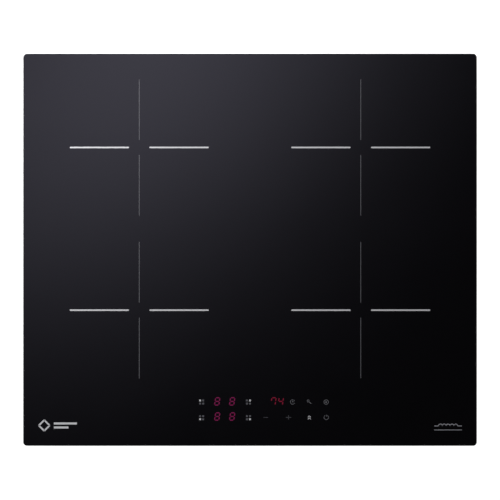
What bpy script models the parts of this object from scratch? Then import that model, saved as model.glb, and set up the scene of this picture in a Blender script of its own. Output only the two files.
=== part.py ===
"""A built-in induction hob with four cooking zones, taken apart into its real pieces.

Metres, +Z up. The origin is under the middle of the steel tray, on the surface that the tray would
stand on. +X is to the cook's right, and the controls are at the front, towards -Y.
"""

import math

import bmesh
import bpy
from mathutils import Matrix, Vector

# ---------------------------------------------------------------- driving dimensions
GAP = 0.0003  # air left where two pieces touch

HEIGHT = 0.058
GLASS_SIZE = (0.590, 0.510)
GLASS_THICKNESS = 0.004
GLASS_CORNER = 0.005
GLASS_ARRIS = 0.0008
GLASS_UNDERSIDE = HEIGHT - GLASS_THICKNESS

SEAL_OUTER = (0.586, 0.506)
SEAL_WIDTH = 0.012
SEAL_THICKNESS = 0.0025

SHEET = 0.0008
TUB_SIZE = (0.500, 0.468)
TUB_CORNER = 0.012
RIM_SIZE = (0.556, 0.476)
RIM_CORNER = 0.010
SHELF_HEIGHT = 0.034
RIM_TOP = GLASS_UNDERSIDE - SHEET

FRAME_SHEET = 0.0012
FRAME_FLANGE = 0.013
FRAME_LEG_BOTTOM = 0.042

DECK_SIZE = (0.520, 0.464)
DECK_BOTTOM = SHELF_HEIGHT + SHEET + GAP
DECK_TOP = DECK_BOTTOM + 0.0012

ZONE_X = 0.144
ZONE_Y = {"rear": 0.133, "front": -0.0785}
SIDES = {"left": -1, "right": 1}
CARRIER_RADIUS = 0.091
WINDING_INNER, WINDING_OUTER = 0.024, 0.086
FERRITE_COUNT = 8

FAN_X, FAN_Y = 0.165, 0.170
SCROLL_RADIUS = 0.042
SCROLL_DUCT = 0.056  # from the fan's axis to the mouth of its duct
FAN_BOTTOM, FAN_TOP = SHEET + 0.0005, 0.027
BLADE_COUNT = 18

BOARD_BOTTOM = 0.004
BOARD_THICKNESS = 0.0016
BOARD_TOP = BOARD_BOTTOM + BOARD_THICKNESS
POWER_BOARD_SIZE = (0.190, 0.272)
POWER_BOARD_CENTRE = (0.143, -0.036)
BOSS_INSET = 0.008

TOUCH_CENTRE = (0.018, -0.208)
TOUCH_BOARD_SIZE = (0.196, 0.046)
TOUCH_BOARD_BOTTOM = 0.0463

TERMINAL_INSIDE_X = 0.046
TERMINAL_INSIDE_Y = (0.177, 0.2306)
TERMINAL_WALL = 0.002
TERMINAL_ROOF = 0.030
LID_AXIS = (0.1812, 0.0034)  # Y and Z of the lid's pins
CABLE_X, CABLE_Z, CABLE_RADIUS = 0.030, 0.0123, 0.0055

CLAMP_X, CLAMP_Y = 0.266, 0.150
CLAMP_HEAD_BOTTOM = 0.003
CLAMP_REACH = 0.034
CLAMP_WIDTH = 0.016
SCREW_RADIUS = 0.002

# ---------------------------------------------------------------- scene and materials
for existing in list(bpy.data.objects):
    bpy.data.objects.remove(existing)

hob = bpy.data.collections.new("induction_hob")
cutters = bpy.data.collections.new("cutters")
for collection in (hob, cutters):
    bpy.context.scene.collection.children.link(collection)


def material(name, colour, roughness, metallic=0.0):
    made = bpy.data.materials.new(name)
    made.use_nodes = True
    shader = made.node_tree.nodes["Principled BSDF"]
    shader.inputs["Base Color"].default_value = (*colour, 1)
    shader.inputs["Roughness"].default_value = roughness
    shader.inputs["Metallic"].default_value = metallic
    made.diffuse_color = (*colour, 1)
    return made


BLACK_GLASS = material("black_glass_ceramic", (0.012, 0.012, 0.015), 0.05)
FOAM = material("seal_foam", (0.04, 0.04, 0.04), 0.9)
GALVANISED = material("galvanised_steel", (0.55, 0.56, 0.58), 0.4, 0.9)
SPRING_STEEL = material("spring_steel", (0.45, 0.45, 0.47), 0.3, 1.0)
SCREW_STEEL = material("zinc_screw", (0.7, 0.68, 0.6), 0.3, 1.0)
ALUMINIUM = material("aluminium", (0.75, 0.76, 0.78), 0.35, 1.0)
FERRITE = material("ferrite", (0.06, 0.06, 0.065), 0.6)
COPPER = material("enamelled_copper", (0.55, 0.22, 0.08), 0.35, 0.8)
MICA = material("mica", (0.72, 0.66, 0.5), 0.5)
SENSOR_RUBBER = material("sensor_rubber", (0.7, 0.7, 0.68), 0.6)
BLACK_PLASTIC = material("black_plastic", (0.03, 0.03, 0.033), 0.5)
WHITE_PLASTIC = material("white_plastic", (0.75, 0.75, 0.72), 0.5)
GREY_PLASTIC = material("grey_plastic", (0.35, 0.36, 0.37), 0.5)
CIRCUIT_BOARD = material("circuit_board", (0.05, 0.22, 0.09), 0.4)
FILM_CAPACITOR = material("film_capacitor", (0.75, 0.55, 0.12), 0.4)
CHOKE = material("choke_core", (0.1, 0.3, 0.22), 0.5)


# ---------------------------------------------------------------- modelling helpers
def shown(name, data, finish, parent=None, location=(0, 0, 0), rotation=(0, 0, 0)):
    """A piece of the hob, made of mesh data that other pieces may share."""
    obj = bpy.data.objects.new(name, data)
    hob.objects.link(obj)
    if not data.materials:
        data.materials.append(finish)
    if data.polygons:
        data.shade_smooth()
        data.set_sharp_from_angle(angle=math.radians(35))
    obj.parent = parent
    obj.location = location
    obj.rotation_euler = rotation
    return obj


def helper(name, data):
    """A shape that only cuts, or is joined into, a piece."""
    obj = bpy.data.objects.new(name, data)
    cutters.objects.link(obj)
    obj.hide_render = True
    obj.display_type = "WIRE"
    return obj


def pivot(name, location):
    """An empty on a joint's axis, which carries the pieces that move together."""
    empty = bpy.data.objects.new(name, None)
    hob.objects.link(empty)
    empty.location = location
    return empty


def rounded_rectangle(size, radius, centre=(0, 0), steps=4):
    points = []
    for quarter, (side_x, side_y) in enumerate(((1, 1), (-1, 1), (-1, -1), (1, -1))):
        for step in range(steps + 1):
            angle = math.pi / 2 * (quarter + step / steps)
            x = centre[0] + side_x * (size[0] / 2 - radius) + radius * math.cos(angle)
            y = centre[1] + side_y * (size[1] / 2 - radius) + radius * math.sin(angle)
            points.append((x, y))
    return points


def rectangle(x_range, y_range):
    (x0, x1), (y0, y1) = x_range, y_range
    return [(x0, y0), (x1, y0), (x1, y1), (x0, y1)]


def circle(radius, centre=(0, 0), steps=16):
    angles = [2 * math.pi * step / steps for step in range(steps)]
    return [(centre[0] + radius * math.cos(a), centre[1] + radius * math.sin(a)) for a in angles]


def plate_mesh(name, outline, bottom, thickness, holes=()):
    """A flat outline with holes, as thick as asked, standing on the height `bottom`."""
    curve = bpy.data.curves.new(name, "CURVE")
    curve.dimensions = "2D"
    curve.fill_mode = "BOTH"
    curve.extrude = thickness / 2
    for points in (outline, *holes):
        spline = curve.splines.new("POLY")
        spline.points.add(len(points) - 1)
        for point, (x, y) in zip(spline.points, points):
            point.co = (x, y, 0, 1)
        spline.use_cyclic_u = True
    drawn = bpy.data.objects.new(name + "_outline", curve)
    hob.objects.link(drawn)
    bpy.context.view_layer.update()
    graph = bpy.context.evaluated_depsgraph_get()
    mesh = bpy.data.meshes.new_from_object(drawn.evaluated_get(graph))
    mesh.transform(Matrix.Translation((0, 0, bottom + thickness / 2)))
    tidy(mesh)
    bpy.data.objects.remove(drawn)
    return mesh


def tidy(mesh):
    """Welds the caps to the sides and turns every face outwards."""
    work = bmesh.new()
    work.from_mesh(mesh)
    bmesh.ops.remove_doubles(work, verts=work.verts, dist=1e-6)
    bmesh.ops.recalc_face_normals(work, faces=work.faces)
    work.to_mesh(mesh)
    work.free()


def boxes_mesh(name, boxes):
    """Separate boxes in one mesh, each given as its X, Y and Z ranges."""
    work = bmesh.new()
    for ranges in boxes:
        centre = Vector([(low + high) / 2 for low, high in ranges])
        size = [high - low for low, high in ranges]
        place = Matrix.Translation(centre) @ Matrix.Diagonal((*size, 1))
        bmesh.ops.create_cube(work, size=1, matrix=place)
    mesh = bpy.data.meshes.new(name)
    work.to_mesh(mesh)
    work.free()
    return mesh


def cylinders_mesh(name, cylinders, steps=10):
    """Separate cylinders in one mesh, each given as centre, radius, length and axis."""
    work = bmesh.new()
    for centre, radius, length, axis in cylinders:
        turn = Vector((0, 0, 1)).rotation_difference(Vector(axis)).to_matrix().to_4x4()
        bmesh.ops.create_cone(
            work,
            cap_ends=True,
            segments=steps,
            radius1=radius,
            radius2=radius,
            depth=length,
            matrix=Matrix.Translation(centre) @ turn,
        )
    mesh = bpy.data.meshes.new(name)
    work.to_mesh(mesh)
    work.free()
    return mesh


def turned(obj, steps):
    """Turns a piece's profile about the Z axis."""
    screw = obj.modifiers.new("turn", "SCREW")
    screw.steps = steps
    screw.render_steps = steps
    screw.use_merge_vertices = True
    screw.merge_threshold = 0.00001
    return obj


def profile_mesh(name, points, closed):
    """A profile in the XZ plane, running down its outer side."""
    mesh = bpy.data.meshes.new(name)
    edges = [(i, i + 1) for i in range(len(points) - 1)]
    if closed:
        edges.append((len(points) - 1, 0))
    mesh.from_pydata([(x, 0, z) for x, z in points], edges, [])
    return mesh


def ring_profile(inner, outer, bottom, top):
    return [(outer, top), (outer, bottom), (inner, bottom), (inner, top)]


def combine(obj, other, operation):
    boolean = obj.modifiers.new(other.name, "BOOLEAN")
    boolean.operation = operation
    boolean.object = other
    return obj


def cut(obj, mesh, parent=None):
    other = helper(mesh.name, mesh)
    other.parent = parent
    return combine(obj, other, "DIFFERENCE")


def unite(obj, mesh, parent=None):
    other = helper(mesh.name, mesh)
    other.parent = parent
    return combine(obj, other, "UNION")


def bevelled(obj, width, segments=2):
    bevel = obj.modifiers.new("rounded_edges", "BEVEL")
    bevel.width = width
    bevel.segments = segments
    bevel.limit_method = "ANGLE"
    bevel.angle_limit = math.radians(60)
    return obj


def solidified(obj, thickness, offset):
    shell = obj.modifiers.new("wall", "SOLIDIFY")
    shell.thickness = thickness
    shell.offset = offset
    shell.use_even_offset = True
    return obj


def strip_mesh(name, path, width, turns=(0,)):
    """A flat strip bent along a path in the YZ plane, repeated at each turn about Z."""
    work = bmesh.new()
    for angle in turns:
        turn = Matrix.Rotation(angle, 3, "Z")
        rows = []
        for y, z in path:
            ends = [turn @ Vector((side * width / 2, y, z)) for side in (-1, 1)]
            rows.append([work.verts.new(end) for end in ends])
        for (a, b), (c, d) in zip(rows, rows[1:]):
            work.faces.new((a, b, d, c))
    mesh = bpy.data.meshes.new(name)
    work.to_mesh(mesh)
    work.free()
    return mesh


# ---------------------------------------------------------------- glass, seal and frame
def make_top():
    outline = rounded_rectangle(GLASS_SIZE, GLASS_CORNER)
    mesh = plate_mesh("glass_top", outline, GLASS_UNDERSIDE, GLASS_THICKNESS)
    bevelled(shown("glass_top", mesh, BLACK_GLASS), GLASS_ARRIS)

    seal_inner = [side - 2 * SEAL_WIDTH for side in SEAL_OUTER]
    mesh = plate_mesh(
        "worktop_seal",
        rounded_rectangle(SEAL_OUTER, GLASS_CORNER - 0.002),
        GLASS_UNDERSIDE - GAP - SEAL_THICKNESS,
        SEAL_THICKNESS,
        [rounded_rectangle(seal_inner, 0.001)],
    )
    shown("worktop_seal", mesh, FOAM)


def make_glass_frame():
    """An angle-section frame that is bonded under the glass and screwed into the tray's rim."""
    outer = [side - 2 * (SHEET + GAP) for side in RIM_SIZE]
    corner = RIM_CORNER - SHEET - GAP
    top = GLASS_UNDERSIDE - GAP
    outline = rounded_rectangle(outer, corner)
    mesh = plate_mesh("glass_frame", outline, FRAME_LEG_BOTTOM, top - FRAME_LEG_BOTTOM)
    frame = shown("glass_frame", mesh, GALVANISED)
    inside_leg = [side - 2 * FRAME_SHEET for side in outer]
    below = FRAME_LEG_BOTTOM - 0.01
    cut(frame, plate_mesh(
        "frame_inside",
        rounded_rectangle(inside_leg, corner - FRAME_SHEET),
        below,
        top - FRAME_SHEET - below,
    ))
    opening = [side - 2 * FRAME_FLANGE for side in outer]
    cut(frame, plate_mesh("frame_opening", rounded_rectangle(opening, 0.006), below, 0.04))
    cut(frame, cylinders_mesh("frame_screw_holes", rim_screw_holes(0.0015), steps=8))


def rim_screw_holes(radius):
    """The ten screws that hold the frame to the tray's rim, as cylinders through both walls."""
    height = 0.0475
    length = 0.012
    holes = []
    for side in (-1, 1):
        for x in (-0.18, 0, 0.18):
            holes.append(((x, side * RIM_SIZE[1] / 2, height), radius, length, (0, 1, 0)))
        for y in (-0.11, 0.11):
            holes.append(((side * RIM_SIZE[0] / 2, y, height), radius, length, (1, 0, 0)))
    return holes


# ---------------------------------------------------------------- steel tray and coil deck
def make_tray():
    """One stamped sheet: a tub for the electronics, a shelf round it and an upright rim."""
    tub = rounded_rectangle(TUB_SIZE, TUB_CORNER)
    rim = rounded_rectangle(RIM_SIZE, RIM_CORNER)
    levels = [(tub, 0), (tub, SHELF_HEIGHT), (rim, SHELF_HEIGHT), (rim, RIM_TOP)]
    work = bmesh.new()
    loops = [[work.verts.new((x, y, z)) for x, y in points] for points, z in levels]
    work.faces.new(list(reversed(loops[0])))
    for lower, upper in zip(loops, loops[1:]):
        for i in range(len(lower)):
            j = (i + 1) % len(lower)
            work.faces.new((lower[i], lower[j], upper[j], upper[i]))
    mesh = bpy.data.meshes.new("bottom_tray")
    work.to_mesh(mesh)
    work.free()
    tray = solidified(shown("bottom_tray", mesh, GALVANISED), SHEET, -1)
    unite(tray, cylinders_mesh("board_bosses", board_bosses()))
    cut(tray, boxes_mesh("air_slots", air_slots()))
    cut(tray, boxes_mesh("cable_openings", cable_openings()))
    cut(tray, cylinders_mesh("rim_holes", rim_screw_holes(0.0017), steps=8))
    cut(tray, cylinders_mesh("shelf_holes", shelf_holes(), steps=12))


def board_bosses():
    """Pressed-up bosses that the power boards stand on."""
    start = SHEET / 2
    end = BOARD_BOTTOM - GAP
    bosses = []
    for side in SIDES.values():
        for x_end in (-1, 1):
            for y_end in (-1, 1):
                x = side * POWER_BOARD_CENTRE[0] + x_end * (POWER_BOARD_SIZE[0] / 2 - BOSS_INSET)
                y = POWER_BOARD_CENTRE[1] + y_end * (POWER_BOARD_SIZE[1] / 2 - BOSS_INSET)
                centre = (x, y, (start + end) / 2)
                bosses.append((centre, 0.003, end - start, (0, 0, 1)))
    return bosses


def air_slots():
    """Air comes in under the fans, and leaves through the tub's front and back walls."""
    slot = 0.004
    through_floor = (-0.002, 0.003)
    vent_height = (0.009, 0.025)
    slots = []
    for side in SIDES.values():
        for row in range(-4, 5):
            offset = 0.008 * row
            half = math.sqrt(0.034**2 - offset**2)
            x, y = side * FAN_X, FAN_Y + offset
            slots.append(((x - half, x + half), (y - slot / 2, y + slot / 2), through_floor))
        for wall, first, count in ((-1, 0.080, 12), (1, 0.090, 8)):
            y = wall * TUB_SIZE[1] / 2
            for number in range(count):
                x = side * (first + 0.010 * number)
                slots.append(((x - slot / 2, x + slot / 2), (y - 0.004, y + 0.004), vent_height))
    return slots


def cable_openings():
    """The wiring opening in the floor, and the notch in the back wall for the mains cable."""
    floor = ((-TERMINAL_INSIDE_X, TERMINAL_INSIDE_X), TERMINAL_INSIDE_Y, (-0.002, 0.003))
    wall = TUB_SIZE[1] / 2
    notch = ((CABLE_X - 0.008, CABLE_X + 0.008), (wall - 0.003, wall + 0.003), (0.005, 0.020))
    return [floor, notch]


def shelf_holes():
    return [
        ((x * CLAMP_X, y * CLAMP_Y, SHELF_HEIGHT), SCREW_RADIUS + 0.0005, 0.006, (0, 0, 1))
        for x in (-1, 1)
        for y in (-1, 1)
    ]


def make_deck():
    """The aluminium sheet that rests on the tray's shelf and carries the coils."""
    holes = []
    for side in SIDES.values():
        for zone_y in ZONE_Y.values():
            holes.append(circle(0.010, (side * ZONE_X, zone_y)))
            holes.append(circle(0.007, (side * 0.040, zone_y), steps=12))
    holes.append(rectangle((-0.078, -0.054), (-0.1833, -0.1773)))
    outline = rounded_rectangle(DECK_SIZE, 0.008)
    mesh = plate_mesh("coil_deck", outline, DECK_BOTTOM, DECK_TOP - DECK_BOTTOM, holes)
    shown("coil_deck", mesh, ALUMINIUM)


# ---------------------------------------------------------------- the four induction coils
def coil_levels():
    """Bottom and top of each layer, from the deck up to the underside of the glass."""
    mica_top = GLASS_UNDERSIDE - GAP
    mica = (mica_top - 0.0006, mica_top)
    winding = (mica[0] - GAP - 0.0038, mica[0] - GAP)
    ferrite = (winding[0] - GAP - 0.004, winding[0] - GAP)
    carrier = (ferrite[0] - GAP - 0.0012, ferrite[0] - GAP)
    spring = (DECK_TOP + GAP, carrier[0] - GAP)
    return {"mica": mica, "winding": winding, "ferrite": ferrite, "carrier": carrier, "spring": spring}


def coil_meshes():
    """One mesh for each layer, which all four coils share."""
    levels = coil_levels()
    carrier_bottom, carrier_top = levels["carrier"]
    ferrite_bottom, ferrite_top = levels["ferrite"]
    bar = ((0.026, 0.084), (-0.007, 0.007), (ferrite_bottom, ferrite_top))
    bars = boxes_mesh("ferrite_bars", [bar])
    work = bmesh.new()
    for number in range(FERRITE_COUNT):
        copy = bars.copy()
        copy.transform(Matrix.Rotation(2 * math.pi * number / FERRITE_COUNT, 4, "Z"))
        work.from_mesh(copy)
        bpy.data.meshes.remove(copy)
    work.to_mesh(bars)
    work.free()
    spring_bottom, spring_top = levels["spring"]
    leaf = 0.0008
    low, high = spring_bottom + leaf / 2, spring_top - leaf / 2
    arm_path = [(0.022, low), (0.030, low), (0.054, high), (0.066, high)]
    thirds = [2 * math.pi * number / 3 for number in range(3)]
    cap = levels["mica"][1]
    return {
        "coil_carrier": plate_mesh(
            "coil_carrier",
            circle(CARRIER_RADIUS, steps=36),
            carrier_bottom,
            carrier_top - carrier_bottom,
            [circle(0.003, steps=8)],
        ),
        "ferrites": profile_mesh(
            "ferrites",
            ring_profile(0.022, 0.030, ferrite_bottom + 0.0005, ferrite_bottom + 0.0015),
            True,
        ),
        "ferrite_bars": bars,
        "coil_winding": profile_mesh(
            "coil_winding", ring_profile(WINDING_INNER, WINDING_OUTER, *levels["winding"]), True
        ),
        "mica_sheet": plate_mesh(
            "mica_sheet",
            circle(CARRIER_RADIUS - 0.001, steps=36),
            levels["mica"][0],
            levels["mica"][1] - levels["mica"][0],
            [circle(0.009, steps=12)],
        ),
        "heat_sensor": profile_mesh(
            "heat_sensor",
            [
                (0, cap),
                (0.0065, cap),
                (0.007, cap - 0.0005),
                (0.007, cap - 0.005),
                (0.005, cap - 0.006),
                (0.005, carrier_top + GAP),
                (0, carrier_top + GAP),
            ],
            False,
        ),
        "coil_spring": profile_mesh(
            "coil_spring", ring_profile(0.018, 0.028, spring_bottom, spring_bottom + leaf), True
        ),
        "spring_arms": strip_mesh("spring_arms", arm_path, 0.010, thirds),
    }


def make_coils():
    meshes = coil_meshes()
    layers = (
        ("coil_carrier", ALUMINIUM, None),
        ("ferrites", FERRITE, 16),
        ("coil_winding", COPPER, 36),
        ("mica_sheet", MICA, None),
        ("heat_sensor", SENSOR_RUBBER, 12),
        ("coil_spring", SPRING_STEEL, 24),
    )
    for row, zone_y in ZONE_Y.items():
        for column, side in SIDES.items():
            zone = f"{row}_{column}"
            axis = pivot(f"{zone}_coil", (side * ZONE_X, zone_y, 0))
            for layer, finish, steps in layers:
                piece = shown(f"{zone}_{layer}", meshes[layer], finish, axis)
                if steps:
                    turned(piece, steps)
                if layer == "ferrites":
                    unite(piece, meshes["ferrite_bars"], axis)
                if layer == "coil_spring":
                    unite(piece, meshes["spring_arms"], axis)
                    arms = piece.modifiers[-1].object
                    solidified(arms, 0.0008, 0)


# ---------------------------------------------------------------- fans
def scroll_outline(radius, inner_x, duct_end, side):
    """A round scroll with a straight duct to the front, handed by its side."""
    join = math.acos(inner_x / radius)
    steps = 20
    sweep = 2 * math.pi - join
    arc = [sweep * step / steps for step in range(steps + 1)]
    points = [(inner_x, -duct_end), (radius, -duct_end)]
    points += [(radius * math.cos(angle), radius * math.sin(angle)) for angle in arc]
    return [(-side * x, y) for x, y in points]


def fan_housing(name, axis, side):
    wall = 0.0015
    outline = scroll_outline(SCROLL_RADIUS, 0.002, SCROLL_DUCT, side)
    inside = scroll_outline(SCROLL_RADIUS - wall, 0.002 + wall, SCROLL_DUCT + 0.01, side)
    mesh = plate_mesh(name, outline, FAN_BOTTOM, FAN_TOP - FAN_BOTTOM)
    housing = shown(name, mesh, BLACK_PLASTIC, axis)
    hollow = FAN_TOP - FAN_BOTTOM - 2 * wall
    cut(housing, plate_mesh(name + "_hollow", inside, FAN_BOTTOM + wall, hollow), axis)
    inlet = ((0, 0, FAN_BOTTOM), 0.030, 0.006, (0, 0, 1))
    cut(housing, cylinders_mesh(name + "_inlet", [inlet], steps=24), axis)


def impeller_meshes():
    """A cup over the motor, a back plate, a shroud ring and forward-curved blades between them."""
    cup_outer, cup_inner = 0.0165, 0.015
    cup_bottom, back_bottom, back_top = 0.008, 0.0215, 0.0227
    tip = 0.038
    shaft = 0.0015
    body = [
        (0, 0.0225),
        (shaft, 0.0225),
        (shaft, cup_bottom + 0.0012),
        (cup_inner, cup_bottom + 0.0012),
        (cup_inner, back_top),
        (tip, back_top),
        (tip, back_bottom),
        (cup_outer, back_bottom),
        (cup_outer, cup_bottom),
        (0, cup_bottom),
    ]
    shroud = ring_profile(0.033, tip, 0.004, 0.0052)
    blade = ((0.029, 0.0375), (-0.0006, 0.0006), (0.0048, 0.0219))
    work = bmesh.new()
    for number in range(BLADE_COUNT):
        one = boxes_mesh("blade", [blade])
        pitch = Matrix.Rotation(math.radians(25), 4, "Z")
        root = Matrix.Translation((blade[0][0], 0, 0))
        one.transform(root @ pitch @ root.inverted())
        one.transform(Matrix.Rotation(2 * math.pi * number / BLADE_COUNT, 4, "Z"))
        work.from_mesh(one)
        bpy.data.meshes.remove(one)
    blades = bpy.data.meshes.new("blades")
    work.to_mesh(blades)
    work.free()
    return profile_mesh("impeller", body, False), profile_mesh("shroud", shroud, True), blades


def motor_mesh():
    """A wound stator on its base plate, bored through for the impeller's shaft."""
    bore, top = 0.0018, FAN_TOP - 0.0015 - GAP
    core, base = 0.0135, 0.018
    points = [(base, top), (base, top - 0.0012), (core, top - 0.0012), (core, 0.0115)]
    points += [(0.006, 0.0115), (0.006, 0.0100), (bore, 0.0100), (bore, top)]
    return profile_mesh("fan_motor", points, True)


def make_fans():
    body, shroud, blades = impeller_meshes()
    motor = motor_mesh()
    for column, side in SIDES.items():
        axis = pivot(f"{column}_fan", (side * FAN_X, FAN_Y, 0))
        fan_housing(f"{column}_fan_housing", axis, side)
        turned(shown(f"{column}_fan_motor", motor, GREY_PLASTIC, axis), 16)
        impeller = turned(shown(f"{column}_fan_impeller", body, WHITE_PLASTIC, axis), 24)
        unite(impeller, blades, axis)
        unite(impeller, shroud, axis)
        turned(impeller.modifiers[-1].object, 24)


# ---------------------------------------------------------------- power electronics
def heat_sink_outline(width, height, fins):
    """A comb: a thick base with upright fins."""
    base, fin = 0.004, 0.0015
    pitch = (width - fin) / (fins - 1)
    points = [(-width / 2, 0), (width / 2, 0)]
    for number in reversed(range(fins)):
        left = -width / 2 + number * pitch
        points += [(left + fin, height), (left, height)]
        if number:
            points += [(left, base), (left - pitch + fin, base)]
    return points


def make_power_boards():
    outline = rounded_rectangle(POWER_BOARD_SIZE, 0.003, steps=2)
    board = plate_mesh("power_board", outline, BOARD_BOTTOM, BOARD_THICKNESS)
    sink_length = 0.140
    comb = heat_sink_outline(0.056, 0.024, 9)
    sink = plate_mesh("heat_sink", comb, -sink_length / 2, sink_length)
    standing = BOARD_TOP + GAP
    choke_profile = ring_profile(0.008, 0.017, standing, standing + 0.014)
    choke = profile_mesh("filter_choke", choke_profile, True)
    capacitor_box = ((-0.020, 0.020), (-0.012, 0.012), (standing, standing + 0.024))
    capacitor = boxes_mesh("film_capacitor", [capacitor_box])
    upright = (math.pi / 2, 0, 0)
    for column, side in SIDES.items():
        board_place = (side * POWER_BOARD_CENTRE[0], POWER_BOARD_CENTRE[1], 0)
        sink_place = (side * 0.143, 0.022, standing)
        choke_place = (side * 0.085, -0.110, 0)
        capacitor_place = (side * 0.205, -0.110, 0)
        shown(f"{column}_power_board", board, CIRCUIT_BOARD, None, board_place)
        shown(f"{column}_heat_sink", sink, ALUMINIUM, None, sink_place, upright)
        turned(shown(f"{column}_filter_choke", choke, CHOKE, None, choke_place), 24)
        can = shown(f"{column}_film_capacitor", capacitor, FILM_CAPACITOR, None, capacitor_place)
        bevelled(can, 0.0015, 1)


# ---------------------------------------------------------------- touch controls
def make_controls():
    x, y = TOUCH_CENTRE
    board_top = TOUCH_BOARD_BOTTOM + BOARD_THICKNESS
    outline = rounded_rectangle(TOUCH_BOARD_SIZE, 0.002, TOUCH_CENTRE, steps=2)
    board = plate_mesh("touch_board", outline, TOUCH_BOARD_BOTTOM, BOARD_THICKNESS)
    shown("touch_board", board, CIRCUIT_BOARD)

    wall = 0.0016
    inner = [side + 2 * GAP for side in TOUCH_BOARD_SIZE]
    outer = [side + 2 * wall for side in inner]
    bottom, top = DECK_TOP + GAP, 0.050
    floor_top = TOUCH_BOARD_BOTTOM - GAP
    outline = rounded_rectangle(outer, 0.003, TOUCH_CENTRE, steps=2)
    block = plate_mesh("touch_board_carrier", outline, bottom, top - bottom)
    carrier = shown("touch_board_carrier", block, BLACK_PLASTIC)
    x_range = (x - inner[0] / 2, x + inner[0] / 2)
    y_range = (y - inner[1] / 2, y + inner[1] / 2)
    ribbon_notch = ((-0.078, -0.054), (y, y + 0.03), (board_top - 0.0005, top + 0.01))
    cut(carrier, boxes_mesh("carrier_pockets", [
        (x_range, y_range, (floor_top, top + 0.01)),
        (x_range, y_range, (bottom - 0.01, floor_top - wall)),
    ]))
    cut(carrier, boxes_mesh("ribbon_notch", [ribbon_notch]))

    led_bottom = board_top + GAP
    led_height = 0.004
    for name, centre, size in (
        ("zone_display", (-0.033, -0.2073), (0.034, 0.035)),
        ("timer_display", (0.036, -0.1975), (0.022, 0.015)),
    ):
        outline = rounded_rectangle(size, 0.001, centre, steps=1)
        shown(name, plate_mesh(name, outline, led_bottom, led_height), BLACK_PLASTIC)

    ribbon = 0.0008
    upper = board_top + GAP + ribbon / 2
    lower = BOARD_TOP + GAP + ribbon / 2
    drop, bend = -0.1803, 0.0015
    path = [(-0.190, upper), (drop - bend, upper), (drop, upper - bend)]
    path += [(drop, lower + bend), (drop + bend, lower), (-0.166, lower)]
    strip = strip_mesh("ribbon_cable", path, 0.020)
    solidified(shown("ribbon_cable", strip, GREY_PLASTIC, None, (-0.066, 0, 0)), ribbon, 0)


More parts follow.
